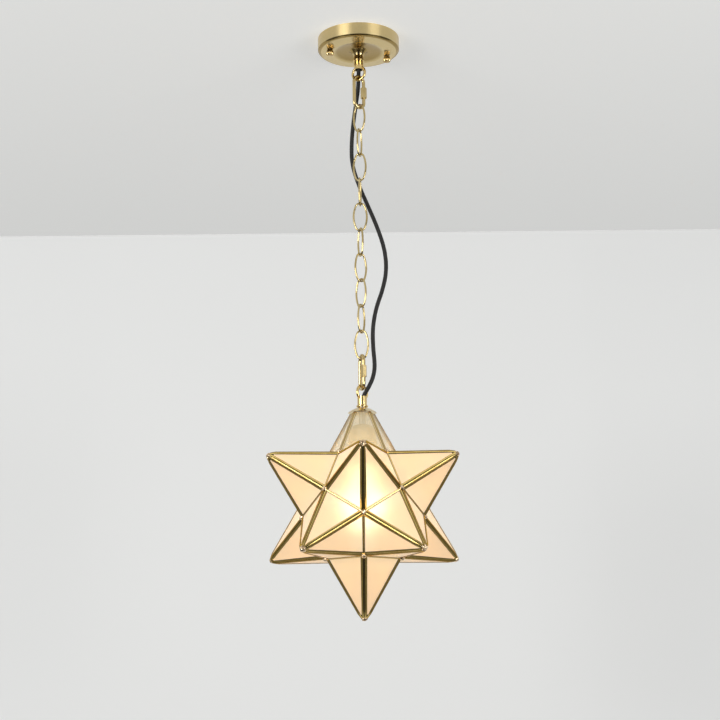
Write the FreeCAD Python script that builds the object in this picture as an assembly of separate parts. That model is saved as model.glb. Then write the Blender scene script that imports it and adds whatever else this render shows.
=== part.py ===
import FreeCAD, Part
import math
import os

# Moravian star pendant: a twelve-pointed glass star on ten chain links under a round canopy.
# Millimetres. The origin is on the ceiling at the canopy's centre, +Z is up and -Y faces the viewer.
# Azimuths are in degrees from the viewer's side, growing to the viewer's right.

Vector = FreeCAD.Vector
UP = Vector(0, 0, 1)
ORIGIN = Vector(0, 0, 0)

# ---- clearances
RUN_GAP = 0.4          # between pieces that move on each other
SCREW_GAP = 0.1        # around a thread and between screwed faces
GLASS_GAP = 0.2        # around the glass in its channel
DOOR_GAP = 0.5         # around the hinged point
SEAT_GAP = 0.3         # under a nut or a cover that can be moved away

# ---- ceiling bracket and its screws
BRACKET_LENGTH = 104.0
BRACKET_WIDTH = 20.0
BRACKET_SHEET = 2.2
BRACKET_FLANGE = 5.0
BRACKET_TURN = 17.5                 # degrees that the bar is turned from the view
STUD_SPACING = 88.9
STUD_RADIUS = 2.0
BOX_HOLE_SPACING = 69.8
BOX_HOLE_RADIUS = 2.4
GROUND_SCREW_PLACE = 17.0
GROUND_SCREW_RADIUS = 2.0
GROUND_HEAD_RADIUS = 4.2
GROUND_HEAD_HEIGHT = 2.6
GROUND_SCREW_LENGTH = 5.0

# ---- canopy
CANOPY_RADIUS = 60.5
CANOPY_SHEET = 1.0
CANOPY_WALL_DEPTH = 17.6
CANOPY_BEVEL_WIDTH = 4.6
CANOPY_BEVEL_DEPTH = 3.0
CANOPY_SWELL = 0.9                  # how far the bevel and the dish are rounded
CREASE_RADIUS = 38.4
CREASE_DEPTH = 22.0
DISH_RADIUS = 14.0
DISH_DEPTH = 19.0
BOSS_RADIUS = 7.6
BOSS_DEPTH = 27.0

# ---- ball nuts that hold the canopy
BALL_NUT_RADIUS = 5.8
BALL_NUT_NECK_RADIUS = 4.4
BALL_NUT_BEAD_HEIGHT = 7.2
BALL_NUT_FLANGE_HEIGHT = 1.4
BALL_NUT_ROOF = 3.0

# ---- hollow threaded nipples, their nuts, and the two screwed loops
NIPPLE_RADIUS = 4.85
NIPPLE_BORE_RADIUS = 3.3
NIPPLE_ENGAGEMENT = 9.0
UPPER_NIPPLE_DEPTH = 10.4
NUT_FLANGE_RADIUS = 16.0
NUT_FLANGE_HEIGHT = 1.5
HEX_NUT_FLATS = 14.0
HEX_NUT_HEIGHT = 4.0
NECK_RADIUS = 6.8
NECK_BORE_RADIUS = 5.0
NECK_CHAMFER = 1.2
COLLAR_RADIUS = 8.4
COLLAR_HEIGHT = 3.0
COLLAR_SETBACK = 6.0
LOOP_RING_RADIUS = 10.2             # to the middle of the wire
LOOP_WIRE_RADIUS = 2.0
LOOP_RING_DROP = 5.6                # from the neck's mouth to the ring's centre
UPPER_NECK_LENGTH = 21.9
LOWER_NECK_LENGTH = 15.7
UPPER_LOOP_TURN = -30.0
LOWER_LOOP_TURN = 50.0

# ---- quick links
QUICK_LINK_WIDTH = 22.0
QUICK_LINK_WIRE_RADIUS = 2.5
QUICK_LINK_EYE = 43.6               # clear length inside
QUICK_LINK_GAP_START = -8.0
QUICK_LINK_GAP_END = -1.5
SLEEVE_FLATS = 8.0
SLEEVE_LENGTH = 17.0
SLEEVE_BORE_GAP = 0.3
SLEEVE_CHAMFER = 0.7
UPPER_QUICK_LINK_TURN = 35.0
LOWER_QUICK_LINK_TURN = -72.0

# ---- chain
LINK_WIDTH = 22.0
LINK_WIRE_RADIUS = 1.4
LINK_EYE = 38.6                     # clear length inside
LINK_END_RADIUS = 6.8               # to the middle of the wire
LINK_TURNS = (-34.0, 72.0, 157.0, 84.0, 0.0, 110.0, 36.0, -45.0, 62.0, 170.0)

# ---- star of twelve five-sided points; sizes are those of the middle of the panes' thickness
PANE_BASE = 64.0                    # a pane's short side, along the valley between two points
POINT_APEX = 163.0                  # from the star's centre to where a point's ridges meet
POINT_CUT = 152.3                   # where the points are cut blunt
CAP_CUT = 131.5                     # where the top point is cut for its cap
SIDES = 5
STEP = 360.0 / SIDES                # degrees between two panes of a point, and two points of a ring
CAME_THICKNESS = 3.2
CAME_RIDGE_WIDTH = 4.2
CAME_VALLEY_WIDTH = 4.2
CAME_TIP_WIDTH = 6.0
CAME_LIP = 2.0                      # how far the channel's back lies from the pane's edge
GLASS_THICKNESS = 2.0
GLASS_END_SETBACK = 4.5
TIP_DOME_HEIGHT = 1.2

# ---- star cap, socket and bulb
CAP_DOME_HEIGHT = 8.0
CAP_SHEET = 1.2
CAP_OVERHANG = 1.4
SOCKET_RADIUS = 19.5
SOCKET_SIDE_ROOM = 8.3              # from the socket's shoulder to the middle of the panes beside it
SOCKET_TOP_RADIUS = 9.0
SOCKET_LENGTH = 57.0
SOCKET_SHOULDER = 12.0
SOCKET_BEAD = 0.8
SOCKET_BEAD_HEIGHT = 3.0
SCREW_SHELL_SHEET = 0.6
SCREW_SHELL_RECESS = 2.0
BULB_RADIUS = 30.0
BULB_NECK_RADIUS = 12.6
BULB_WALL = 0.8
BULB_BASE_RADIUS = 13.2
BULB_BASE_LENGTH = 25.0
BULB_BASE_WALL = 0.5
BULB_BASE_CHAMFER = 2.0
BULB_CONTACT_RADIUS = 5.0
BULB_CONTACT_HEIGHT = 3.0
BULB_LEAVE_ANGLE = 38.0             # degrees above the globe's middle where its neck begins
BULB_TAPER_SHARE = 0.8              # how far up the stem the neck has reached its radius
BULB_TAPER_HOLLOW = 1.0             # how far the shoulder between globe and neck is drawn in
BULB_STEM = 56.0                    # from the globe's centre to the base's lower edge

# ---- hinge and catch of the point that opens for the bulb
DOOR_AZIMUTH = 2 * STEP             # the upper point that turns its back to the viewer
HINGE_BARREL_RADIUS = 2.2
HINGE_PIN_RADIUS = 1.0
HINGE_LENGTH = 24.0
HINGE_LEAF_WIDTH = 4.6
HINGE_LEAF_SHEET = 0.8
CATCH_WIDTH = 7.0
CATCH_SHEET = 0.6
CATCH_REACH = 3.4

# ---- supply wiring inside the canopy
CONNECTOR_RADIUS = 4.6
CONNECTOR_TIP_RADIUS = 3.0
CONNECTOR_LENGTH = 15.0
CONNECTOR_CIRCLE = 33.0
CONNECTOR_AZIMUTHS = (30.0, 180.0, 235.0)
LEAD_RADIUS = 1.1
LEAD_DEPTH = 9.0

# ---- power cord: a route chosen by hand, from inside the upper neck to inside the lower neck
CORD_RADIUS = 3.0
CORD_ARC_SHARE = 0.45
CORD_ROUTE = (
    (0.0, 0.0, -38.0),
    (0.0, 0.0, -47.2),
    (-0.4, 8.2, -58.2),
    (-1.3, 12.4, -77.0),
    (-5.0, 14.5, -100.0),
    (-9.0, 16.5, -127.0),
    (-12.0, 18.0, -160.0),
    (-11.5, 18.5, -191.0),
    (-1.0, 18.5, -225.0),
    (12.0, 18.5, -256.0),
    (25.5, 17.0, -290.0),
    (35.5, 14.0, -324.0),
    (37.5, 11.5, -356.0),
    (31.5, 9.5, -385.0),
    (21.0, 8.0, -414.0),
    (16.0, 6.5, -444.0),
    (16.5, 4.0, -474.0),
    (18.8, -0.6, -499.0),
    (16.4, -4.6, -516.5),
    (10.2, -6.3, -531.0),
    (0.0, 0.0, -546.5),
    (0.0, 0.0, -557.0),
)

# ---- places worked out from the sizes above, as heights below the ceiling
UPPER_RING_Z = -(BOSS_DEPTH + UPPER_NECK_LENGTH + LOOP_RING_DROP)
RING_WIRE_Z = UPPER_RING_Z - LOOP_RING_RADIUS
QUICK_LINK_LENGTH = QUICK_LINK_EYE + 2 * QUICK_LINK_WIRE_RADIUS
LINK_LENGTH = LINK_EYE + 2 * LINK_WIRE_RADIUS
UPPER_QUICK_TOP_Z = RING_WIRE_Z + LOOP_WIRE_RADIUS + QUICK_LINK_WIRE_RADIUS + RUN_GAP
UPPER_QUICK_BOTTOM_Z = UPPER_QUICK_TOP_Z - QUICK_LINK_LENGTH
FIRST_LINK_TOP_Z = UPPER_QUICK_BOTTOM_Z + QUICK_LINK_WIRE_RADIUS + LINK_WIRE_RADIUS + RUN_GAP
LINK_PITCH = LINK_EYE - RUN_GAP
LAST_LINK_BOTTOM_Z = FIRST_LINK_TOP_Z - LINK_PITCH * (len(LINK_TURNS) - 1) - LINK_LENGTH
LOWER_QUICK_TOP_Z = LAST_LINK_BOTTOM_Z + QUICK_LINK_WIRE_RADIUS + LINK_WIRE_RADIUS + RUN_GAP
LOWER_QUICK_BOTTOM_Z = LOWER_QUICK_TOP_Z - QUICK_LINK_LENGTH
LOWER_RING_WIRE_Z = LOWER_QUICK_BOTTOM_Z + LOOP_WIRE_RADIUS + QUICK_LINK_WIRE_RADIUS + RUN_GAP
LOWER_RING_Z = LOWER_RING_WIRE_Z - LOOP_RING_RADIUS
FOOT_Z = LOWER_RING_Z - LOOP_RING_DROP - LOWER_NECK_LENGTH

# ---- the star's own proportions, from its centre
PANE_AZIMUTH = 90.0                      # the upright point's pane is drawn with its middle toward +X
VERTEX_RING_RADIUS = PANE_BASE / (2 * math.sin(math.pi / SIDES))
SIDE_MIDDLE_RADIUS = PANE_BASE / (2 * math.tan(math.pi / SIDES))
CORE_FACE_DISTANCE = PANE_BASE * math.sqrt((25 + 11 * math.sqrt(5)) / 40)
RING_STEP = math.degrees(math.atan(2))   # between the axes of two neighbouring points
PANE_HEIGHT = math.hypot(POINT_APEX - CORE_FACE_DISTANCE, SIDE_MIDDLE_RADIUS)
PANE_DISTANCE = SIDE_MIDDLE_RADIUS * POINT_APEX / PANE_HEIGHT
RIDGE_SLOPE = VERTEX_RING_RADIUS / (POINT_APEX - CORE_FACE_DISTANCE)
OUTER_SCALE = 1 + CAME_THICKNESS / 2 / PANE_DISTANCE
INNER_SCALE = 1 - CAME_THICKNESS / 2 / PANE_DISTANCE
CAP_BASE_HEIGHT = CAP_CUT * OUTER_SCALE + SCREW_GAP
CAP_RADIUS = (POINT_APEX - CAP_CUT) * RIDGE_SLOPE * OUTER_SCALE + CAP_OVERHANG
STAR_Z = FOOT_Z - SCREW_GAP - CAP_DOME_HEIGHT - CAP_BASE_HEIGHT
SOCKET_DROP = (SOCKET_RADIUS + SOCKET_SIDE_ROOM) / (RIDGE_SLOPE * math.cos(math.pi / SIDES))
SOCKET_TOP_HEIGHT = POINT_APEX - SOCKET_DROP + SOCKET_SHOULDER
NIPPLE_BELOW_CAP = CAP_BASE_HEIGHT - SOCKET_TOP_HEIGHT + NIPPLE_ENGAGEMENT / 2
SOCKET_MOUTH_HEIGHT = SOCKET_TOP_HEIGHT - SOCKET_LENGTH
SCREW_SHELL_RADIUS = BULB_BASE_RADIUS + SEAT_GAP + SCREW_SHELL_SHEET


def around(azimuth, radius, height=0.0):
    """Point at an azimuth in degrees from the viewer's side, a radius and a height."""
    angle = math.radians(azimuth)
    return Vector(radius * math.sin(angle), -radius * math.cos(angle), height)


def sideways(turn):
    """Horizontal unit vector in the plane of a link that is turned by some degrees from the view."""
    angle = math.radians(turn)
    return Vector(math.cos(angle), math.sin(angle), 0)


def profile_wire(points):
    """Closed wire in the XZ plane through (r, z) corners; (mid_r, mid_z, r, z) ends a round stretch."""
    edges = []
    start = Vector(points[0][0], 0, points[0][1])
    here = start
    for point in points[1:] + [points[0]]:
        there = Vector(point[-2], 0, point[-1])
        if len(point) == 4:
            edges.append(Part.Arc(here, Vector(point[0], 0, point[1]), there).toShape())
        elif (there - here).Length > 1e-6:
            edges.append(Part.LineSegment(here, there).toShape())
        here = there
    return Part.Wire(edges)


def turned(points):
    """Solid of revolution about the Z axis of a profile in (r, z)."""
    return Part.Face(profile_wire(points)).revolve(ORIGIN, UP, 360)


def rod(radius, start, end):
    """Round bar between two points."""
    return Part.makeCylinder(radius, (end - start).Length, start, end - start)


def hexagon_bar(flats, start, length):
    """Hexagonal bar that goes down from a point by some length."""
    corner = flats / 2 / math.cos(math.pi / 6)
    points = [start + around(60 * k, corner) for k in range(7)]
    return Part.Face(Part.makePolygon(points)).extrude(Vector(0, 0, -length))


def prismoid(lower, upper):
    """Solid between two flat outlines with the same number of corners."""
    count = len(lower)
    faces = [Part.Face(Part.makePolygon(lower + lower[:1])), Part.Face(Part.makePolygon(upper + upper[:1]))]
    for k in range(count):
        after = (k + 1) % count
        corners = [lower[k], lower[after], upper[after], upper[k], lower[k]]
        faces.append(Part.Face(Part.makePolygon(corners)))
    solid = Part.makeSolid(Part.makeShell(faces))
    if solid.Volume < 0:
        solid.reverse()
    return solid


def bent_wire(radius, arcs):
    """Round wire along joined arcs, each given as its start, middle and end points."""
    pieces = []
    for start, middle, end in arcs:
        edge = Part.Arc(start, middle, end).toShape()
        curve = edge.Curve
        tangent = edge.tangentAt(edge.FirstParameter)
        face = Part.Face(Part.Wire(Part.makeCircle(radius, start, tangent)))
        sweep = math.degrees(edge.Length / curve.Radius)
        axis = (start - curve.Center).cross(tangent)
        pieces.append(face.revolve(curve.Center, axis, sweep))
    return pieces


def joined(pieces):
    """One clean solid from pieces that meet."""
    return pieces[0].multiFuse(pieces[1:]).removeSplitter()


# ---------------------------------------------------------------- ceiling set


def bar_place(offset, height=0.0):
    """Point along the bracket's bar, from its centre."""
    return sideways(BRACKET_TURN) * offset + Vector(0, 0, height)


def turned_with_bar(shape):
    """Shape drawn along X, turned to lie along the bracket's bar."""
    shape.rotate(ORIGIN, UP, BRACKET_TURN)
    return shape


def make_crossbar_bracket():
    """Pressed steel bar with two stiffening flanges and its holes."""
    half_length = BRACKET_LENGTH / 2
    half_width = BRACKET_WIDTH / 2
    bar = Part.makeBox(BRACKET_LENGTH, BRACKET_WIDTH, BRACKET_FLANGE,
                       Vector(-half_length, -half_width, -BRACKET_FLANGE))
    hollow_width = BRACKET_WIDTH - 2 * BRACKET_SHEET
    hollow = Part.makeBox(BRACKET_LENGTH, hollow_width, BRACKET_FLANGE,
                          Vector(-half_length, -hollow_width / 2, -BRACKET_FLANGE - BRACKET_SHEET))
    bar = bar.cut(hollow)
    holes = [(0, NIPPLE_RADIUS + SCREW_GAP), (GROUND_SCREW_PLACE, GROUND_SCREW_RADIUS + SCREW_GAP)]
    for side in (-1, 1):
        holes.append((side * STUD_SPACING / 2, STUD_RADIUS + SCREW_GAP))
        holes.append((side * BOX_HOLE_SPACING / 2, BOX_HOLE_RADIUS))
    for place, radius in holes:
        bar = bar.cut(Part.makeCylinder(radius, BRACKET_FLANGE, Vector(place, 0, -BRACKET_FLANGE)))
    return turned_with_bar(bar)


def make_bracket_screws():
    """Two canopy studs that hang from the bar, and the earthing screw with its head below the bar."""
    stud_end = ball_nut_end() + BALL_NUT_ROOF + SEAT_GAP
    studs = []
    for side in (-1, 1):
        place = side * STUD_SPACING / 2
        studs.append(rod(STUD_RADIUS, bar_place(place, stud_end), bar_place(place)))
    head_top = bar_place(GROUND_SCREW_PLACE, -BRACKET_SHEET - SCREW_GAP)
    head = rod(GROUND_HEAD_RADIUS, head_top - UP * GROUND_HEAD_HEIGHT, head_top)
    shank_top = bar_place(GROUND_SCREW_PLACE)
    shank = rod(GROUND_SCREW_RADIUS, shank_top - UP * GROUND_SCREW_LENGTH, shank_top)
    return Part.makeCompound(studs + [head.fuse(shank)])


def canopy_form(inset):
    """Solid of the canopy's outer form, drawn in by a wall thickness."""
    wall_radius = CANOPY_RADIUS - inset
    bevel_radius = CANOPY_RADIUS - CANOPY_BEVEL_WIDTH
    bevel_depth = CANOPY_WALL_DEPTH + CANOPY_BEVEL_DEPTH
    boss_radius = BOSS_RADIUS - inset
    flare_radius = (DISH_RADIUS + BOSS_RADIUS) / 2 - inset - CANOPY_SWELL
    return turned([
        (0, 0),
        (wall_radius, 0),
        (wall_radius, -CANOPY_WALL_DEPTH + inset),
        ((wall_radius + bevel_radius + CANOPY_SWELL) / 2,
         -(CANOPY_WALL_DEPTH + bevel_depth + CANOPY_SWELL) / 2 + inset, bevel_radius, -bevel_depth + inset),
        (CREASE_RADIUS, -CREASE_DEPTH + inset),
        ((CREASE_RADIUS + DISH_RADIUS) / 2, -(CREASE_DEPTH + DISH_DEPTH) / 2 + inset + CANOPY_SWELL,
         DISH_RADIUS, -DISH_DEPTH + inset),
        (flare_radius, -(DISH_DEPTH + BOSS_DEPTH) / 2 + inset, boss_radius, -BOSS_DEPTH + inset),
        (0, -BOSS_DEPTH + inset),
    ])


def make_canopy():
    """Spun canopy: bevelled rim, ledge for the nuts, dished middle and a trumpet boss."""
    canopy = canopy_form(0).cut(canopy_form(CANOPY_SHEET))
    canopy = canopy.cut(Part.makeCylinder(NIPPLE_RADIUS + SCREW_GAP, BOSS_DEPTH, Vector(0, 0, -BOSS_DEPTH)))
    for side in (-1, 1):
        foot = bar_place(side * STUD_SPACING / 2, -CREASE_DEPTH - CANOPY_SHEET)
        canopy = canopy.cut(Part.makeCylinder(STUD_RADIUS + RUN_GAP, CREASE_DEPTH, foot))
    return canopy


def ledge_depth(radius):
    """Depth of the canopy's ledge at a radius."""
    ledge_radius = CANOPY_RADIUS - CANOPY_BEVEL_WIDTH
    ledge_start = CANOPY_WALL_DEPTH + CANOPY_BEVEL_DEPTH
    share = (ledge_radius - radius) / (ledge_radius - CREASE_RADIUS)
    return ledge_start + share * (CREASE_DEPTH - ledge_start)


def ball_nut_top():
    """Height of the ball nuts' seat under the canopy's ledge."""
    return -ledge_depth(STUD_SPACING / 2 - BALL_NUT_RADIUS) - SEAT_GAP


def ball_nut_end():
    """Height at which the ball nuts' beads end."""
    return ball_nut_top() - BALL_NUT_FLANGE_HEIGHT - BALL_NUT_BEAD_HEIGHT


def make_canopy_nut(side):
    """Closed ball nut of one bead, screwed up a stud against the canopy."""
    top = ball_nut_top()
    flange = top - BALL_NUT_FLANGE_HEIGHT
    end = ball_nut_end()
    nut = turned([
        (0, top),
        (BALL_NUT_NECK_RADIUS, top),
        (BALL_NUT_NECK_RADIUS, flange),
        (BALL_NUT_RADIUS, (flange + end) / 2, BALL_NUT_NECK_RADIUS - SLEEVE_CHAMFER, end),
        (0, end - SLEEVE_CHAMFER),
    ])
    bore_end = end + BALL_NUT_ROOF
    nut = nut.cut(Part.makeCylinder(STUD_RADIUS + SEAT_GAP, top - bore_end, Vector(0, 0, bore_end)))
    nut.translate(bar_place(side * STUD_SPACING / 2))
    return nut


def hollow_nipple(top, bottom):
    """Threaded tube between two heights."""
    outside = rod(NIPPLE_RADIUS, Vector(0, 0, bottom), Vector(0, 0, top))
    return outside.cut(rod(NIPPLE_BORE_RADIUS, Vector(0, 0, bottom), Vector(0, 0, top)))


def make_upper_nipple():
    """Threaded tube from inside the canopy down into the upper loop's neck."""
    return hollow_nipple(-UPPER_NIPPLE_DEPTH, -BOSS_DEPTH - NIPPLE_ENGAGEMENT)


def make_upper_nipple_nut():
    """Flanged nut inside the canopy; its flange rests on the crest of the dish."""
    seat = -DISH_DEPTH + CANOPY_SHEET + SEAT_GAP
    flange_top = seat + NUT_FLANGE_HEIGHT
    flange = rod(NUT_FLANGE_RADIUS, Vector(0, 0, seat), Vector(0, 0, flange_top))
    flange = flange.cut(rod(NIPPLE_RADIUS + SCREW_GAP, Vector(0, 0, seat), Vector(0, 0, flange_top)))
    return nipple_nut(flange_top + HEX_NUT_HEIGHT).fuse(flange).removeSplitter()


def nipple_nut(top):
    """Hexagonal nut round a nipple, below a height."""
    nut = hexagon_bar(HEX_NUT_FLATS, Vector(0, 0, top), HEX_NUT_HEIGHT)
    hole = rod(NIPPLE_RADIUS + SCREW_GAP, Vector(0, 0, top - HEX_NUT_HEIGHT), Vector(0, 0, top))
    return nut.cut(hole)


def make_screwed_loop(neck_length, collar_setback):
    """Loop with its ring's centre at the origin and its neck rising from it."""
    mouth = LOOP_RING_DROP
    end = mouth + neck_length
    collar_top = end - collar_setback
    collar_bottom = collar_top - COLLAR_HEIGHT
    neck_points = [
        (NECK_BORE_RADIUS, mouth + NECK_CHAMFER),
        (NECK_BORE_RADIUS + NECK_CHAMFER, mouth),
        (NECK_RADIUS, mouth),
        (NECK_RADIUS, collar_bottom),
        (COLLAR_RADIUS, (collar_bottom + collar_top) / 2, NECK_RADIUS, collar_top),
    ]
    if collar_setback > 0:
        neck_points.append((NECK_RADIUS, end))
    neck = turned(neck_points + [(NECK_BORE_RADIUS, end)])
    ring = Part.makeTorus(LOOP_RING_RADIUS, LOOP_WIRE_RADIUS, ORIGIN, Vector(0, 1, 0))
    bore = rod(NECK_BORE_RADIUS, Vector(0, 0, mouth - NECK_CHAMFER), Vector(0, 0, end))
    mouth_radius = NECK_BORE_RADIUS + NECK_CHAMFER
    mouth_cone = Part.makeCone(mouth_radius, NECK_BORE_RADIUS, NECK_CHAMFER, Vector(0, 0, mouth))
    arms = ring.cut(bore).cut(mouth_cone)
    loop = neck.fuse(arms).removeSplitter()
    solids = sorted(loop.Solids, key=lambda solid: solid.Volume)
    return solids[-1]


def make_loop_upper():
    """Loop screwed up the canopy's nipple, ring down."""
    loop = make_screwed_loop(UPPER_NECK_LENGTH, COLLAR_SETBACK)
    loop.rotate(ORIGIN, UP, UPPER_LOOP_TURN)
    loop.translate(Vector(0, 0, UPPER_RING_Z))
    return loop


def make_loop_lower():
    """Loop screwed down the star's nipple, ring up; its collar is its foot on the cap."""
    loop = make_screwed_loop(LOWER_NECK_LENGTH, 0)
    loop.rotate(ORIGIN, Vector(1, 0, 0), 180)
    loop.rotate(ORIGIN, UP, LOWER_LOOP_TURN)
    loop.translate(Vector(0, 0, LOWER_RING_Z))
    return loop


def make_supply_wiring():
    """Cord end in the upper nipple, three leads, and three twist-on connectors under the bracket."""
    cord_start = Vector(*CORD_ROUTE[0])
    lead_root = Vector(0, 0, -LEAD_DEPTH)
    jacket = rod(CORD_RADIUS, cord_start, lead_root)
    solids = [jacket]
    for azimuth in CONNECTOR_AZIMUTHS:
        mouth = around(azimuth, CONNECTOR_CIRCLE - CONNECTOR_LENGTH / 2, -LEAD_DEPTH - CONNECTOR_RADIUS)
        tip = around(azimuth, CONNECTOR_CIRCLE + CONNECTOR_LENGTH / 2, -LEAD_DEPTH - CONNECTOR_RADIUS)
        cap = Part.makeCone(CONNECTOR_RADIUS, CONNECTOR_TIP_RADIUS, CONNECTOR_LENGTH, mouth, tip - mouth)
        root = around(azimuth, CORD_RADIUS - LEAD_RADIUS, -LEAD_DEPTH)
        rise = root + UP * LEAD_RADIUS
        lead = rod(LEAD_RADIUS, rise, mouth).fuse(Part.makeSphere(LEAD_RADIUS, rise))
        lead = lead.cut(jacket)
        solids.append(cap.fuse(lead))
    return Part.makeCompound(solids)


# ---------------------------------------------------------------- chain and quick links


def oval_arcs(half_width, half_length, end_radius):
    """Four arcs of an upright oval in the XZ plane, from its right side round."""
    reach = half_length - end_radius
    side_radius = (half_width ** 2 + reach ** 2 - end_radius ** 2) / (2 * (half_width - end_radius))
    side_centre = side_radius - half_width
    spread = side_radius / (side_radius - end_radius)
    join_x = side_centre * (spread - 1)
    join_z = reach * spread
    right_top = Vector(join_x, 0, join_z)
    left_top = Vector(-join_x, 0, join_z)
    left_bottom = Vector(-join_x, 0, -join_z)
    right_bottom = Vector(join_x, 0, -join_z)
    return [
        (right_bottom, Vector(half_width, 0, 0), right_top),
        (right_top, Vector(0, 0, half_length), left_top),
        (left_top, Vector(-half_width, 0, 0), left_bottom),
        (left_bottom, Vector(0, 0, -half_length), right_bottom),
    ]


def make_chain_link(index):
    """One oval link of round wire, hanging in the link above it."""
    half_width = LINK_WIDTH / 2 - LINK_WIRE_RADIUS
    link = joined(bent_wire(LINK_WIRE_RADIUS, oval_arcs(half_width, LINK_LENGTH / 2, LINK_END_RADIUS)))
    link.rotate(ORIGIN, UP, LINK_TURNS[index])
    top = FIRST_LINK_TOP_Z - LINK_PITCH * index
    link.translate(Vector(0, 0, top - LINK_LENGTH / 2))
    return link


def make_quick_link(turn, top):
    """Long link of thick wire with a gap in one leg, which its screw sleeve closes."""
    bend = QUICK_LINK_WIDTH / 2 - QUICK_LINK_WIRE_RADIUS
    straight = QUICK_LINK_LENGTH / 2 - bend
    arcs = [
        (Vector(bend, 0, straight), Vector(0, 0, straight + bend), Vector(-bend, 0, straight)),
        (Vector(-bend, 0, -straight), Vector(0, 0, -straight - bend), Vector(bend, 0, -straight)),
    ]
    legs = [
        rod(QUICK_LINK_WIRE_RADIUS, Vector(-bend, 0, -straight), Vector(-bend, 0, straight)),
        rod(QUICK_LINK_WIRE_RADIUS, Vector(bend, 0, -straight), Vector(bend, 0, QUICK_LINK_GAP_START)),
        rod(QUICK_LINK_WIRE_RADIUS, Vector(bend, 0, QUICK_LINK_GAP_END), Vector(bend, 0, straight)),
    ]
    link = joined(legs + bent_wire(QUICK_LINK_WIRE_RADIUS, arcs))
    link.rotate(ORIGIN, UP, turn)
    link.translate(Vector(0, 0, top - QUICK_LINK_LENGTH / 2))
    return link


def make_quick_link_sleeve(turn, top):
    """Hexagonal sleeve with turned ends, on the quick link's open leg."""
    bend = QUICK_LINK_WIDTH / 2 - QUICK_LINK_WIRE_RADIUS
    half = SLEEVE_LENGTH / 2
    corner = SLEEVE_FLATS / 2 / math.cos(math.pi / 6)
    end_radius = corner - SLEEVE_CHAMFER
    barrel = turned([
        (0, half),
        (end_radius, half),
        (corner, half - SLEEVE_CHAMFER),
        (corner, -half + SLEEVE_CHAMFER),
        (end_radius, -half),
        (0, -half),
    ])
    sleeve = barrel.common(hexagon_bar(SLEEVE_FLATS, Vector(0, 0, half), SLEEVE_LENGTH))
    bore_radius = QUICK_LINK_WIRE_RADIUS + SLEEVE_BORE_GAP
    sleeve = sleeve.cut(rod(bore_radius, Vector(0, 0, -half), Vector(0, 0, half)))
    sleeve.translate(Vector(bend, 0, 0))
    sleeve.rotate(ORIGIN, UP, turn)
    sleeve.translate(Vector(0, 0, top - QUICK_LINK_LENGTH / 2))
    return sleeve


# ---------------------------------------------------------------- star


class Pane:
    """Places in one pane of the upright point: across, up the pane, and out of its plane."""

    def __init__(self):
        half = math.pi / SIDES
        self.middle = Vector(SIDE_MIDDLE_RADIUS, 0, CORE_FACE_DISTANCE)
        self.across = Vector(0, 1, 0)
        self.up = (Vector(0, 0, POINT_APEX) - self.middle).normalize()
        self.out = self.across.cross(self.up)
        self.half_base = SIDE_MIDDLE_RADIUS * math.tan(half)
        self.side_angle = math.atan2(self.half_base, PANE_HEIGHT)

    def place(self, across, up, out=0.0):
        """Point of the pane in space."""
        return self.middle + self.across * across + self.up * up + self.out * out

    def cut_height(self, axis_height):
        """Distance up the pane at which it reaches a height on the point's axis."""
        return (axis_height - CORE_FACE_DISTANCE) / self.up.z

    def outline(self, axis_cut, ridge_inset, base_inset, end_inset):
        """Corners of the pane drawn in from its two ridges, its base and its cut end."""
        apex = PANE_HEIGHT - ridge_inset / math.sin(self.side_angle)
        end = self.cut_height(axis_cut) - end_inset
        slope = math.tan(self.side_angle)
        base_half = (apex - base_inset) * slope
        corners = [(-base_half, base_inset), (base_half, base_inset)]
        if end >= apex:
            return corners + [(0, apex)]
        end_half = (apex - end) * slope
        return corners + [(end_half, end), (-end_half, end)]

    def slab(self, corners, thickness):
        """Plate of some thickness about the pane's middle plane, with square edges."""
        points = [self.place(across, up, -thickness / 2) for across, up in corners]
        return Part.Face(Part.makePolygon(points + points[:1])).extrude(self.out * thickness)

    def mitred_slab(self, corners):
        """Plate of the came's thickness whose edges all point at the star's centre."""
        points = [self.place(across, up) for across, up in corners]
        return prismoid([point * INNER_SCALE for point in points], [point * OUTER_SCALE for point in points])


PANE = Pane()


def make_came(axis_cut, base_gap):
    """Brass channel round one pane, mitred to its neighbours along the ridges and the valley."""
    body = PANE.mitred_slab(PANE.outline(axis_cut, 0, base_gap, 0))
    ridge_window = CAME_RIDGE_WIDTH
    valley_window = CAME_VALLEY_WIDTH + base_gap
    opening = PANE.outline(axis_cut, ridge_window, valley_window, CAME_TIP_WIDTH)
    window = PANE.slab(opening, 3 * CAME_THICKNESS)
    channel = PANE.slab(PANE.outline(axis_cut, CAME_LIP, CAME_LIP + base_gap, GLASS_END_SETBACK),
                        GLASS_THICKNESS + 2 * GLASS_GAP)
    return body.cut(window).cut(channel)


def make_glass(axis_cut, base_gap):
    """Glass pane that sits in the came's channel."""
    inset = CAME_LIP + GLASS_GAP
    outline = PANE.outline(axis_cut, inset, inset + base_gap, GLASS_END_SETBACK + GLASS_GAP)
    return PANE.slab(outline, GLASS_THICKNESS)


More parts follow.
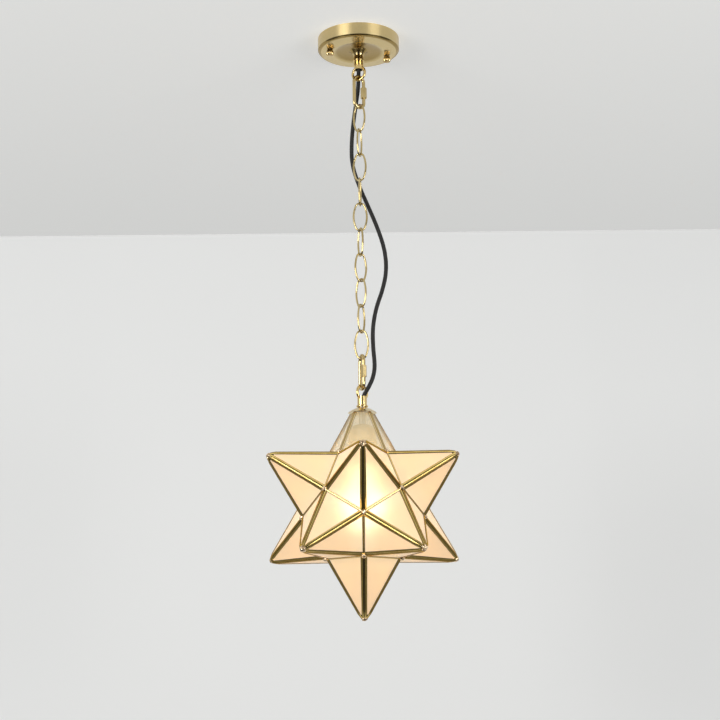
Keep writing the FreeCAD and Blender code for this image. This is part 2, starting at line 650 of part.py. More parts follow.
def make_tip_solder():
    """Solder that closes a blunt tip: a five-sided plug under a low dome."""
    ridge_radius = (POINT_APEX - POINT_CUT) * RIDGE_SLOPE
    ring = [around(STEP * (k + 0.5), ridge_radius, POINT_CUT) for k in range(SIDES)]
    plug = prismoid([point * INNER_SCALE for point in ring], [point * OUTER_SCALE for point in ring])
    base = POINT_CUT * OUTER_SCALE
    rim = ridge_radius * math.cos(math.pi / SIDES)
    dome_radius = (rim ** 2 + TIP_DOME_HEIGHT ** 2) / (2 * TIP_DOME_HEIGHT)
    sphere = Part.makeSphere(dome_radius, Vector(0, 0, base + TIP_DOME_HEIGHT - dome_radius))
    dome = sphere.common(rod(rim * 2, Vector(0, 0, base), Vector(0, 0, base + TIP_DOME_HEIGHT * 2)))
    return plug.fuse(dome)


def round_the_point(shape):
    """Five copies of a pane's piece round the upright point's axis."""
    copies = []
    for k in range(SIDES):
        copy = shape.copy()
        copy.rotate(ORIGIN, UP, STEP * k - PANE_AZIMUTH)
        copies.append(copy)
    return copies


def point_turns(ring, azimuth):
    """Turns that carry the upright point to its place in the star."""
    if ring == "top":
        return []
    flip = (around(STEP / 4, 1), 180)
    if ring == "bottom":
        return [flip]
    upper_azimuth = azimuth if ring == "upper" else STEP / 2 - azimuth
    tilted = around(upper_azimuth, math.sin(math.radians(RING_STEP)), math.cos(math.radians(RING_STEP)))
    turns = [(tilted + UP, 180)]
    if ring == "lower":
        turns.append(flip)
    return turns


def set_in_star(shape, turns):
    """Shape of the upright point, turned to its place and moved to the hanging star."""
    placed = shape.copy()
    for axis, angle in turns:
        placed.rotate(ORIGIN, axis, angle)
    placed.translate(Vector(0, 0, STAR_Z))
    return placed


def star_points():
    """Each point of the star: its name, its turns, its cut, and the gap round its base."""
    points = [("top", point_turns("top", 0), CAP_CUT, 0)]
    for k in range(SIDES):
        upper = STEP * k
        lower = STEP * (k + 0.5)
        if upper == DOOR_AZIMUTH:
            points.append(("door", point_turns("upper", upper), POINT_CUT, DOOR_GAP))
        else:
            points.append(("upper_%03d" % upper, point_turns("upper", upper), POINT_CUT, 0))
        points.append(("lower_%03d" % lower, point_turns("lower", lower), POINT_CUT, 0))
    points.append(("bottom", point_turns("bottom", 0), POINT_CUT, 0))
    return points


def make_point_frame(turns, axis_cut, base_gap):
    """Five cames of one point and the solder on its tip."""
    solids = round_the_point(make_came(axis_cut, base_gap))
    if axis_cut == POINT_CUT:
        solids.append(make_tip_solder())
    return set_in_star(Part.makeCompound(solids), turns)


def make_point_glass(turns, axis_cut, base_gap):
    """Five panes of one point."""
    return set_in_star(Part.makeCompound(round_the_point(make_glass(axis_cut, base_gap))), turns)


# ---------------------------------------------------------------- hinge and catch of the door


VALLEY_DIRECTION = Vector(PANE.middle).normalize()
HALF_OPENING = math.acos(PANE.up.dot(VALLEY_DIRECTION))
VALLEY_RISE = PANE.middle.dot(PANE.up) * (OUTER_SCALE - 1)
HINGE_REACH = (HINGE_BARREL_RADIUS + SCREW_GAP) / math.sin(HALF_OPENING)
HINGE_CENTRE = PANE.middle * OUTER_SCALE + VALLEY_DIRECTION * HINGE_REACH
MIRROR_NORMAL = VALLEY_DIRECTION.cross(PANE.across)


def across_the_valley(shape):
    """Mirror image of a shape, on the pane beyond the valley."""
    return shape.mirror(ORIGIN, MIRROR_NORMAL)


def face_plate(half_width, start, length, lift, sheet):
    """Small plate on the pane's outer face, from a distance beyond the valley."""
    low = VALLEY_RISE + start
    high = low + length
    face = CAME_THICKNESS / 2 + lift
    corners = [(-half_width, low), (half_width, low), (half_width, high), (-half_width, high)]
    points = [PANE.place(across, up, face) for across, up in corners]
    return Part.Face(Part.makePolygon(points + points[:1])).extrude(PANE.out * sheet)


def hinge_rod(radius, start, end):
    """Bar on the hinge's axis between two distances along it."""
    return rod(radius, HINGE_CENTRE + PANE.across * start, HINGE_CENTRE + PANE.across * end)


def make_leaf(knuckles, other_knuckles):
    """Hinge leaf on the pane's outer face with its knuckles round the pin."""
    half = HINGE_LENGTH / 2
    foot = HINGE_REACH * math.cos(HALF_OPENING)
    leaf = face_plate(half, foot, HINGE_LEAF_WIDTH, SCREW_GAP, HINGE_LEAF_SHEET)
    for start, end in knuckles:
        leaf = leaf.fuse(hinge_rod(HINGE_BARREL_RADIUS, start, end))
    for start, end in other_knuckles:
        leaf = leaf.cut(hinge_rod(HINGE_BARREL_RADIUS + RUN_GAP, start - RUN_GAP, end + RUN_GAP))
    return leaf.cut(hinge_rod(HINGE_PIN_RADIUS + SCREW_GAP, -half - RUN_GAP, half + RUN_GAP))


def knuckle_spans():
    """Spans of the two outer knuckles and of the middle one, with a running gap between them."""
    half = HINGE_LENGTH / 2
    quarter = HINGE_LENGTH / 4
    outer = [(-half, -quarter - RUN_GAP / 2), (quarter + RUN_GAP / 2, half)]
    middle = [(-quarter + RUN_GAP / 2, quarter - RUN_GAP / 2)]
    return outer, middle


def turned_to_door(shape):
    """Shape drawn at the first pane, carried to the valley between the top point and the door."""
    shape.rotate(ORIGIN, UP, DOOR_AZIMUTH - PANE_AZIMUTH)
    shape.translate(Vector(0, 0, STAR_Z))
    return shape


def make_door_hinge():
    """Hinge leaf soldered to the top point, with the two outer knuckles."""
    outer, middle = knuckle_spans()
    return turned_to_door(make_leaf(outer, middle))


def make_door_hinge_leaf():
    """Hinge leaf soldered to the door, with the middle knuckle."""
    outer, middle = knuckle_spans()
    return turned_to_door(across_the_valley(make_leaf(middle, outer)))


def make_door_hinge_pin():
    """Pin through the three knuckles."""
    return turned_to_door(hinge_rod(HINGE_PIN_RADIUS, -HINGE_LENGTH / 2, HINGE_LENGTH / 2))


def make_door_catch():
    """Spring clip on the door's far side that bears on the neighbouring point's came."""
    own = face_plate(CATCH_WIDTH / 2, 0, CATCH_REACH, 0, CATCH_SHEET)
    tongue = across_the_valley(face_plate(CATCH_WIDTH / 2, 0, CATCH_REACH, SEAT_GAP, CATCH_SHEET))
    clip = own.fuse(tongue).removeSplitter()
    clip.rotate(ORIGIN, UP, DOOR_AZIMUTH + 2 * STEP - PANE_AZIMUTH)
    return set_in_star(clip, point_turns("upper", DOOR_AZIMUTH))


# ---------------------------------------------------------------- cap, socket and bulb


def dome_drop(radius, rim, height):
    """How far a shallow dome of some height has fallen from its top at a radius."""
    dome_radius = (rim ** 2 + height ** 2) / (2 * height)
    return dome_radius - math.sqrt(dome_radius ** 2 - radius ** 2)


def make_star_cap():
    """Shallow domed cap over the cut top point."""
    base = STAR_Z + CAP_BASE_HEIGHT
    top = base + CAP_DOME_HEIGHT
    inner_radius = CAP_RADIUS - CAP_SHEET
    inner_height = CAP_DOME_HEIGHT - CAP_SHEET
    inner_top = base + inner_height
    cap = turned([
        (0, top),
        (CAP_RADIUS / 2, top - dome_drop(CAP_RADIUS / 2, CAP_RADIUS, CAP_DOME_HEIGHT), CAP_RADIUS, base),
        (inner_radius, base),
        (inner_radius / 2, inner_top - dome_drop(inner_radius / 2, inner_radius, inner_height), 0, inner_top),
    ])
    return cap.cut(rod(NIPPLE_RADIUS + SCREW_GAP, Vector(0, 0, base), Vector(0, 0, top)))


def make_lower_nipple():
    """Threaded tube from the lower loop's neck, through the cap, to the socket."""
    return hollow_nipple(FOOT_Z + NIPPLE_ENGAGEMENT, STAR_Z + CAP_BASE_HEIGHT - NIPPLE_BELOW_CAP)


def make_lower_nipple_nut():
    """Nut that clamps the cap to the lower loop's foot."""
    corner = HEX_NUT_FLATS / 2 / math.cos(math.pi / 6)
    inner_height = CAP_DOME_HEIGHT - CAP_SHEET
    drop = dome_drop(corner, CAP_RADIUS - CAP_SHEET, inner_height)
    return nipple_nut(STAR_Z + CAP_BASE_HEIGHT + inner_height - drop - SCREW_GAP)


def bulb_contact_height():
    """Height of the bulb's end contact above the star's centre."""
    return BULB_STEM + BULB_BASE_LENGTH + BULB_CONTACT_HEIGHT


def make_socket_body():
    """Socket with a rounded shoulder, a bead round its middle, and a bored mouth."""
    top = SOCKET_TOP_HEIGHT
    mouth = SOCKET_MOUTH_HEIGHT
    shoulder = top - SOCKET_SHOULDER
    bead_top = shoulder - SOCKET_SHOULDER
    bead_bottom = bead_top - SOCKET_BEAD_HEIGHT
    bead_radius = SOCKET_RADIUS + SOCKET_BEAD
    turn = math.sqrt(0.5)
    cavity_radius = SCREW_SHELL_RADIUS + SCREW_GAP
    cavity_top = bulb_contact_height() + SEAT_GAP
    body = turned([
        (0, top),
        (SOCKET_TOP_RADIUS, top),
        (SOCKET_TOP_RADIUS + (SOCKET_RADIUS - SOCKET_TOP_RADIUS) * turn,
         shoulder + SOCKET_SHOULDER * turn, SOCKET_RADIUS, shoulder),
        (SOCKET_RADIUS, bead_top),
        (bead_radius, (bead_top + bead_bottom) / 2, SOCKET_RADIUS, bead_bottom),
        (SOCKET_RADIUS, mouth),
        (cavity_radius, mouth),
        (cavity_radius, cavity_top),
        (0, cavity_top),
    ])
    nipple_end = CAP_BASE_HEIGHT - NIPPLE_BELOW_CAP - SCREW_GAP
    body = body.cut(rod(NIPPLE_RADIUS + SCREW_GAP, Vector(0, 0, nipple_end), Vector(0, 0, top)))
    body.translate(Vector(0, 0, STAR_Z))
    return body


def make_socket_screw_shell():
    """Thin brass screw shell in the socket's mouth."""
    bottom = SOCKET_MOUTH_HEIGHT + SCREW_SHELL_RECESS
    top = bulb_contact_height()
    inside = SCREW_SHELL_RADIUS - SCREW_SHELL_SHEET
    shell = turned([
        (inside, bottom),
        (SCREW_SHELL_RADIUS, bottom),
        (SCREW_SHELL_RADIUS, top),
        (inside, top),
    ])
    shell.translate(Vector(0, 0, STAR_Z))
    return shell


def bulb_form(inset):
    """Solid of the bulb's envelope, drawn in by its wall."""
    globe = BULB_RADIUS - inset
    neck = BULB_NECK_RADIUS - inset
    turn = math.sqrt(0.5)
    leave = math.radians(BULB_LEAVE_ANGLE)
    half_leave = leave / 2
    neck_start = BULB_STEM * BULB_TAPER_SHARE
    taper_mid_radius = (globe * math.cos(leave) + neck) / 2 - BULB_TAPER_HOLLOW
    taper_mid_height = (globe * math.sin(leave) + neck_start) / 2
    return turned([
        (0, -globe),
        (globe * turn, -globe * turn, globe, 0),
        (globe * math.cos(half_leave), globe * math.sin(half_leave),
         globe * math.cos(leave), globe * math.sin(leave)),
        (taper_mid_radius, taper_mid_height, neck, neck_start),
        (neck, BULB_STEM + BULB_BASE_LENGTH / 2),
        (0, BULB_STEM + BULB_BASE_LENGTH / 2),
    ])


def make_bulb_glass():
    """Round bulb's envelope, open at its neck inside the base."""
    neck_top = Vector(0, 0, BULB_STEM + BULB_BASE_LENGTH / 2)
    opening = rod(BULB_NECK_RADIUS - BULB_WALL, neck_top - UP * BULB_WALL, neck_top)
    glass = bulb_form(0).cut(bulb_form(BULB_WALL)).cut(opening)
    glass.translate(Vector(0, 0, STAR_Z))
    return glass


def make_bulb_base():
    """Bulb's metal screw cap with its end contact."""
    bottom = BULB_STEM
    top = BULB_STEM + BULB_BASE_LENGTH
    inside = BULB_NECK_RADIUS + SCREW_GAP
    base = turned([
        (inside, bottom),
        (BULB_BASE_RADIUS, bottom),
        (BULB_BASE_RADIUS, top - BULB_BASE_CHAMFER),
        (BULB_BASE_RADIUS - BULB_BASE_CHAMFER, top),
        (BULB_CONTACT_RADIUS, top),
        (BULB_CONTACT_RADIUS - BULB_BASE_WALL, bulb_contact_height()),
        (0, bulb_contact_height()),
        (0, top - BULB_BASE_CHAMFER),
        (inside, top - BULB_BASE_CHAMFER - BULB_BASE_WALL),
    ])
    base.translate(Vector(0, 0, STAR_Z))
    return base


# ---------------------------------------------------------------- power cord


def cord_corners():
    """Each inner point of the route with its arc's radius and the arc's two ends."""
    route = [Vector(*point) for point in CORD_ROUTE]
    corners = []
    for before, point, after in zip(route, route[1:], route[2:]):
        arriving = point - before
        leaving = after - point
        half_turn = arriving.getAngle(leaving) / 2
        reach = CORD_ARC_SHARE * min(arriving.Length, leaving.Length)
        arc_start = point - arriving.normalize() * reach
        arc_end = point + leaving.normalize() * reach
        corners.append((point, reach / math.tan(half_turn), arc_start, arc_end))
    return corners


def cord_path():
    """Straight runs joined by tangent arcs."""
    edges = []
    here = Vector(*CORD_ROUTE[0])
    for point, radius, arc_start, arc_end in cord_corners():
        edges.append(Part.LineSegment(here, arc_start).toShape())
        chord_middle = (arc_start + arc_end) * 0.5
        inward = (chord_middle - point).normalize()
        half_chord = (arc_end - arc_start).Length / 2
        sagitta = radius - math.sqrt(radius ** 2 - half_chord ** 2)
        middle = chord_middle - inward * sagitta
        edges.append(Part.Arc(arc_start, middle, arc_end).toShape())
        here = arc_end
    edges.append(Part.LineSegment(here, Vector(*CORD_ROUTE[-1])).toShape())
    return Part.Wire(edges)


def make_power_cord():
    """The cord's free stretch, and its straight end inside the lower nipple."""
    path = cord_path()
    start = Vector(*CORD_ROUTE[0])
    direction = Vector(*CORD_ROUTE[1]) - start
    section = Part.Wire(Part.makeCircle(CORD_RADIUS, start, direction))
    free = path.makePipeShell([section], True, False)
    volume = math.pi * CORD_RADIUS ** 2 * path.Length
    print("cord length %.1f, volume against section %.4f" % (path.Length, free.Volume / volume))
    print("cord radii", " ".join("%.0f" % radius for point, radius, arc_start, arc_end in cord_corners()))
    end = Vector(0, 0, STAR_Z + CAP_BASE_HEIGHT - NIPPLE_BELOW_CAP)
    inner = rod(CORD_RADIUS, end, Vector(*CORD_ROUTE[-1]))
    return Part.makeCompound([free, inner])


# ---------------------------------------------------------------- every node


def build_nodes():
    """Every sub-part by its name."""
    nodes = {
        "crossbar_bracket": make_crossbar_bracket(),
        "bracket_screws": make_bracket_screws(),
        "canopy": make_canopy(),
        "canopy_nut_left": make_canopy_nut(-1),
        "canopy_nut_right": make_canopy_nut(1),
        "upper_nipple": make_upper_nipple(),
        "upper_nipple_nut": make_upper_nipple_nut(),
        "loop_upper": make_loop_upper(),
        "supply_wiring": make_supply_wiring(),
        "quick_link_upper": make_quick_link(UPPER_QUICK_LINK_TURN, UPPER_QUICK_TOP_Z),
        "quick_link_upper_sleeve": make_quick_link_sleeve(UPPER_QUICK_LINK_TURN, UPPER_QUICK_TOP_Z),
    }
    for index in range(len(LINK_TURNS)):
        nodes["chain_link_%02d" % (index + 1)] = make_chain_link(index)
    nodes["quick_link_lower"] = make_quick_link(LOWER_QUICK_LINK_TURN, LOWER_QUICK_TOP_Z)
    nodes["quick_link_lower_sleeve"] = make_quick_link_sleeve(LOWER_QUICK_LINK_TURN, LOWER_QUICK_TOP_Z)
    nodes["loop_lower"] = make_loop_lower()
    nodes["power_cord"] = make_power_cord()
    nodes["star_cap"] = make_star_cap()
    nodes["lower_nipple"] = make_lower_nipple()
    nodes["lower_nipple_nut"] = make_lower_nipple_nut()
    nodes["socket_body"] = make_socket_body()
    nodes["socket_screw_shell"] = make_socket_screw_shell()
    nodes["bulb_glass"] = make_bulb_glass()
    nodes["bulb_base"] = make_bulb_base()
    nodes["door_hinge"] = make_door_hinge()
    nodes["door_hinge_leaf"] = make_door_hinge_leaf()
    nodes["door_hinge_pin"] = make_door_hinge_pin()
    nodes["door_catch"] = make_door_catch()
    for name, turns, axis_cut, base_gap in star_points():
        nodes["point_%s_frame" % name] = make_point_frame(turns, axis_cut, base_gap)
        nodes["point_%s_glass" % name] = make_point_glass(turns, axis_cut, base_gap)
    return nodes


def main():
    """Build every piece and write it out."""
    os.makedirs("parts", exist_ok=True)
    for name, shape in build_nodes().items():
        for solid in shape.Solids:
            if not solid.isValid():
                print("not valid:", name)
        shape.exportStep("parts/%s.step" % name)


if __name__ == "__main__":
    main()
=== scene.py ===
import logging
import math
import random
from collections.abc import Callable, Mapping
from dataclasses import dataclass, field
from enum import Enum

import bmesh
import bpy
from bmesh.types import BMesh, BMFace, BMVert
from bpy.types import GeometryNodeTree, Material, Mesh, Node, NodeSocket, NodeTree, Object
from mathutils import Matrix, Vector


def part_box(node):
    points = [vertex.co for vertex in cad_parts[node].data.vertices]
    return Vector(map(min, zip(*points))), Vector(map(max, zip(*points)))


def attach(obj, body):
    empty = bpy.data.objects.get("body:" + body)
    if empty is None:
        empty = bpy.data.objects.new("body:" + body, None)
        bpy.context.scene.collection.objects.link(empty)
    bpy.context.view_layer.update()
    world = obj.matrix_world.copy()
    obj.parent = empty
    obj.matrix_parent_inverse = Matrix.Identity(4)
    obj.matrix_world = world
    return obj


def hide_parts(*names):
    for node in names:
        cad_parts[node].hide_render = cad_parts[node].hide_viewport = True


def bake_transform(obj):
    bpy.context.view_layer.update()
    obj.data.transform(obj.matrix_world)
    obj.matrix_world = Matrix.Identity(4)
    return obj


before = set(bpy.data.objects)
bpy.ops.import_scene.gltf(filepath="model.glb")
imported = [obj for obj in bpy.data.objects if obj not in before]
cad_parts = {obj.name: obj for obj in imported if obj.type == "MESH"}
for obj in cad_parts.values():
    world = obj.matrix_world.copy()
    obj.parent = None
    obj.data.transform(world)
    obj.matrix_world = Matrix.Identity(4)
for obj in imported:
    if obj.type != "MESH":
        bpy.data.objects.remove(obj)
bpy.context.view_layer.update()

log = logging.getLogger("star_pendant")
MM = 0.001
SIDES = 5
STEP = 72.0
CHAIN_LINKS = 10
MERGE = 1e-6
Colour = tuple[float, float, float]
Place = tuple[float, float, float]
# A point with the strength of the painted shade on it, from 0 to 1.
Mark = tuple[Vector, float]
Outline = list[Mark]
Ring = list[BMVert]


# ---------------------------------------------------------------- node trees


class Grain(Enum):
    """How the surface of a metal piece was worked: its grain's scale along X, Y and Z."""

    SPUN = (1.0, 1.0, 6.0)
    DRAWN = (1.0, 1.0, 0.06)
    CAST = (1.0, 1.0, 1.0)


class NodeBoard:
    """A node tree with short calls for adding and joining nodes."""

    def __init__(self, tree: NodeTree, prefix: str = "ShaderNode") -> None:
        """Take up a node tree.

        Args:
            tree: The tree.
            prefix: What the names of its usual node types begin with.
        """
        self.tree = tree
        self.prefix = prefix

    def add(self, kind: str, *inputs: object, **settings: object) -> Node:
        """Add a node and set it.

        Args:
            kind: Type of the node, whole or without the tree's prefix.
            *inputs: Values or sources of its inputs, in order.
            **settings: As for set.

        Returns:
            The new node.
        """
        node = self.tree.nodes.new(kind if "Node" in kind else self.prefix + kind)
        return self.set(node, *inputs, **settings)

    def set(self, node: Node, *inputs: object, **settings: object) -> Node:
        """Set a node's options and its inputs, or join them to their sources.

        Args:
            node: The node.
            *inputs: Values or sources of its inputs, in order; None leaves an input as it is.
            **settings: Options by their names in small letters, and values or sources of inputs by theirs,
                with underscores for spaces.

        Returns:
            The node.
        """
        for key in filter(str.islower, settings):
            setattr(node, key, settings[key])
        named = [(node.inputs[key.replace("_", " ")], value) for key, value in settings.items()
                 if not key.islower()]
        for target, value in [*zip(node.inputs, inputs), *named]:
            source = value.outputs[0] if isinstance(value, Node) else value
            if isinstance(source, NodeSocket):
                self.tree.links.new(source, target)
            elif source is not None:
                target.default_value = source
        return node

    def math(self, operation: str, *terms: object, clamp: bool = False) -> Node:
        """One step of arithmetic on values or sources, kept within 0 and 1 where it is clamped."""
        return self.add("ShaderNodeMath", *terms, operation=operation, use_clamp=clamp)

    def noise(self, scale: float, detail: float, grain: Grain = Grain.CAST) -> Node:
        """Noise on Object coordinates.

        Args:
            scale: How fine it is.
            detail: How many octaves it has.
            grain: How it is drawn out.

        Returns:
            The noise.
        """
        place = self.add("Mapping", Vector=self.add("TexCoord").outputs["Object"], Scale=grain.value)
        return self.add("TexNoise", Vector=place, Scale=scale, Detail=detail)

    def ramp(self, factor: object, *stops: tuple[float, Colour]) -> Node:
        """Colours along a factor.

        Args:
            factor: Source of the value that picks the colour.
            *stops: Place and colour of each stop, in order.

        Returns:
            The ramp.
        """
        node = self.add("ValToRGB", factor)
        elements = node.color_ramp.elements
        while len(elements) < len(stops):
            elements.new(0.5)
        for element, (position, colour) in zip(elements, stops):
            element.position = position
            element.color = (*colour, 1.0)
        return node

    def span(self, value: object, start: float, end: float, low: float = 0.0, high: float = 1.0) -> Node:
        """Value carried from one range to another.

        Args:
            value: Source of the value.
            start: Start of its range.
            end: End of its range.
            low: Result at the start.
            high: Result at the end.

        Returns:
            The carried value.
        """
        return self.add("MapRange", Value=value, From_Min=start, From_Max=end, To_Min=low, To_Max=high)

    def bump(self, height: object, strength: float, depth: float) -> Node:
        """Surface relief from a height of 0 to 1, with its strength and its depth in metres."""
        return self.add("Bump", Height=height, Strength=strength, Distance=depth)

    def grown(self, geometry: object, material: Material) -> None:
        """End a Geometry Nodes tree with a smooth, realized and painted result."""
        whole = self.add("RealizeInstances", self.add("SetShadeSmooth", geometry))
        self.add("NodeGroupOutput", self.add("SetMaterial", Geometry=whole, Material=material))


def growth_tree(name: str, sizes: dict[str, str]) -> tuple[NodeBoard, Mapping[str, NodeSocket]]:
    """Start a Geometry Nodes tree.

    Args:
        name: The tree's name.
        sizes: Name and kind of each input after the geometry.

    Returns:
        A board on the tree, and what the tree is given, by name.
    """
    tree = bpy.data.node_groups.new(name, "GeometryNodeTree")
    for label, kind in {"Geometry": "Geometry", **sizes}.items():
        tree.interface.new_socket(label, in_out="INPUT", socket_type="NodeSocket" + kind)
    tree.interface.new_socket("Geometry", in_out="OUTPUT", socket_type="NodeSocketGeometry")
    board = NodeBoard(tree, "GeometryNode")
    return board, board.add("NodeGroupInput").outputs


# ---------------------------------------------------------------- finishes


def shaded(tone: Colour, share: float) -> Colour:
    """A share of a colour."""
    return (tone[0] * share, tone[1] * share, tone[2] * share)


@dataclass(frozen=True)
class Finish:
    """A named finish; each kind draws its own shader."""

    name: str

    def shader(self, board: NodeBoard) -> Node:
        """Plain surface, for a kind that draws none of its own."""
        return board.add("BsdfPrincipled")

    def material(self) -> Material:
        """Build the finish.

        Returns:
            The material.
        """
        material = bpy.data.materials.new(self.name)
        material.use_nodes = True
        material.node_tree.nodes.clear()
        board = NodeBoard(material.node_tree)
        board.add("OutputMaterial", Surface=self.shader(board))
        return material


@dataclass(frozen=True)
class Metal(Finish):
    """A metal finish: two tones, a range of roughness and the grain of its making."""

    bright: Colour
    deep: Colour
    smooth: float
    rough: float
    grain: Grain
    relief: float = 0.25

    def shader(self, board: NodeBoard) -> Node:
        """Mottled tones with a fine grain.

        Args:
            board: Where its nodes go.

        Returns:
            The shader.
        """
        fine = board.noise(900.0, 4.0, self.grain)
        cloud = board.noise(38.0, 5.0)
        mottling = board.math("MULTIPLY_ADD", fine, 0.45, board.span(cloud, 0.25, 0.75, 0.0, 0.55))
        return board.add("BsdfPrincipled", Metallic=1.0,
                         Base_Color=board.ramp(cloud, (0.30, self.deep), (0.68, self.bright)),
                         Roughness=board.span(mottling, 0.1, 0.8, self.smooth, self.rough),
                         Normal=board.bump(fine, self.relief, 0.08 * MM))


@dataclass(frozen=True)
class SpunCanopy(Finish):
    """Spun brass cup: satin wall and ledge; the polished bevel and dish carry a darker painted reflection."""

    satin: Colour
    # The polished colour is a painted dark reflection, laid on the bevel and the dish.
    polished: Colour
    boss_radius: float = 8.5 * MM
    boss_fade: float = 1.0 * MM
    crease_radius: float = 37.8 * MM
    crease_fade: float = 6.0 * MM
    bevel_radius: float = 56.0 * MM
    bevel_fade: float = 0.5 * MM
    wall_depth: float = 17.6 * MM
    wall_fade: float = 0.4 * MM

    def shader(self, board: NodeBoard) -> Node:
        """Rings of the spinning lathe, drawn out round the axis, with a darker painted reflection on the bevel
        and the dish.

        Args:
            board: Where its nodes go.

        Returns:
            The shader.
        """
        parts = board.add("SeparateXYZ", board.add("TexCoord").outputs["Object"]).outputs
        flat = board.add("CombineXYZ", parts["X"], parts["Y"])
        reach = board.add("VectorMath", flat, operation="LENGTH").outputs["Value"]
        inner = board.span(reach, self.boss_radius, self.boss_radius + self.boss_fade)
        dish = board.span(reach, self.crease_radius - self.crease_fade, self.crease_radius, 1.0, 0.0)
        rim = board.span(reach, self.bevel_radius, self.bevel_radius + self.bevel_fade)
        below = board.span(parts["Z"], -self.wall_depth, -self.wall_depth - self.wall_fade)
        # Painted reflection: the bevel and the dish take the darker colour, as if they reflected dark
        # surroundings.
        painted_reflection_zone = board.math("MAXIMUM", board.math("MULTIPLY", inner, dish), board.math("MULTIPLY", rim, below))
        rings = board.noise(1400.0, 4.0, Grain.SPUN)
        gloss = board.math("SUBTRACT", board.span(rings, 0.3, 0.7, 0.25, 0.37),
                           board.span(below, 0.0, 1.0, 0.0, 0.11))
        return board.add("BsdfPrincipled", Metallic=1.0, Anisotropic=0.85, Anisotropic_Rotation=0.25,
                         Base_Color=board.ramp(painted_reflection_zone, (0.0, self.satin), (1.0, self.polished)), Roughness=gloss,
                         Normal=board.bump(rings, 0.25, 0.08 * MM),
                         Tangent=board.add("Tangent", direction_type="RADIAL", axis="Z"))


@dataclass(frozen=True)
class Came(Finish):
    """Rolled brass came, darkened with painted shade where the mesh's own attribute says so."""

    bright: Colour
    deep: Colour
    # Near-black colour of the painted shade along the lips, the seams and the edges beside the glass.
    painted_shade: Colour
    edge_tint: Colour = (0.62, 0.42, 0.18)
    smooth: float = 0.07
    rough: float = 0.20

    def shader(self, board: NodeBoard) -> Node:
        """Mottled brass under painted shade.

        Args:
            board: Where its nodes go.

        Returns:
            The shader.
        """
        cloud = board.noise(60.0, 5.0)
        # Painted shade: where the mesh's attribute is high, the brass is mixed toward the near-black colour,
        # standing in for contact shadow and dark reflections.
        mark = board.add("Attribute", attribute_name="painted_shade").outputs["Fac"]
        tone = board.add("MixRGB", board.span(mark, 0.15, 0.75),
                         board.ramp(cloud, (0.32, self.deep), (0.60, self.bright)), (*self.painted_shade, 1.0))
        return board.add("BsdfPrincipled", Metallic=1.0, Specular_Tint=(*self.edge_tint, 1.0),
                         Base_Color=tone, Roughness=board.span(cloud, 0.3, 0.7, self.rough, self.smooth),
                         Normal=board.bump(board.noise(700.0, 3.0), 0.25, 0.06 * MM))


@dataclass(frozen=True)
class Solder(Finish):
    """Lumpy solder, darker and rougher where it is stained."""

    bright: Colour
    dark: Colour
    lump_scale: float = 420.0

    def shader(self, board: NodeBoard) -> Node:
        """Round lumps with a stain.

        Args:
            board: Where its nodes go.

        Returns:
            The shader.
        """
        lumps = board.add("TexVoronoi", Vector=board.add("TexCoord").outputs["Object"], Scale=self.lump_scale,
                          feature="SMOOTH_F1")
        stain = board.noise(160.0, 5.0)
        return board.add("BsdfPrincipled", Metallic=1.0,
                         Base_Color=board.ramp(stain, (0.36, self.dark), (0.52, self.bright)),
                         Roughness=board.span(stain, 0.3, 0.7, 0.34, 0.16),
                         Normal=board.bump(lumps.outputs["Distance"], 0.55, 0.6 * MM))


@dataclass(frozen=True)
class PaintedGlowPane(Finish):
    """Frosted glass with painted light: a painted glow and a painted tone, palest round the bulb and deeper
    toward the tips.
    """

    # Centre of the painted glow, and the painted colours near the bulb and toward the tips.
    centre: Colour
    near: Colour
    far: Colour
    near_radius: float
    far_radius: float
    glow: float
    depth: float = 0.62

    def shader(self, board: NodeBoard) -> Node:
        """Painted glow that deepens away from the bulb, over glass whose colour is painted with the same
        gradient.

        Args:
            board: Where its nodes go.

        Returns:
            The shader.
        """
        # Painted light: the glow and the glass colour both follow the distance from the bulb at the star's
        # centre.
        offset = board.add("VectorMath", board.add("TexCoord").outputs["Object"], self.centre,
                           operation="SUBTRACT")
        length = board.add("VectorMath", offset, operation="LENGTH").outputs["Value"]
        share = board.math("MULTIPLY_ADD", board.noise(24.0, 4.0), 0.14,
                           board.span(length, self.near_radius, self.far_radius))
        grit = board.noise(2600.0, 2.0)
        return board.add("BsdfPrincipled", IOR=1.45, Transmission_Weight=0.5, Emission_Strength=self.glow,
                         Base_Color=board.ramp(share, (0.10, shaded(self.near, self.depth)),
                                               (0.85, shaded(self.far, self.depth))),
                         Emission_Color=board.ramp(share, (0.10, self.near), (0.85, self.far)),
                         Roughness=board.span(grit, 0.3, 0.7, 0.34, 0.46),
                         Normal=board.bump(grit, 0.2, 0.05 * MM))


@dataclass(frozen=True)
class PaleGlass(Finish):
    """Clear, faintly tinted and lightly seeded glass that lets the lampholder show."""

    tint: Colour
    haze: float
    glow: float

    def shader(self, board: NodeBoard) -> Node:
        """Wavy glass with seeds, and a faint painted glow in its own tint.

        Args:
            board: Where its nodes go.

        Returns:
            The shader.
        """
        waves = board.noise(60.0, 3.0)
        tone = board.ramp(waves, (0.35, shaded(self.tint, 0.9)), (0.65, self.tint))
        seeds = board.noise(900.0, 1.0)
        # The emission is a painted glow, standing in for the bulb's light in the glass.
        return board.add("BsdfPrincipled", IOR=1.45, Alpha=self.haze, Emission_Strength=self.glow,
                         Base_Color=tone, Emission_Color=tone, Normal=board.bump(waves, 0.15, 0.4 * MM),
                         Roughness=board.span(seeds, 0.3, 0.7, 0.06, 0.16))


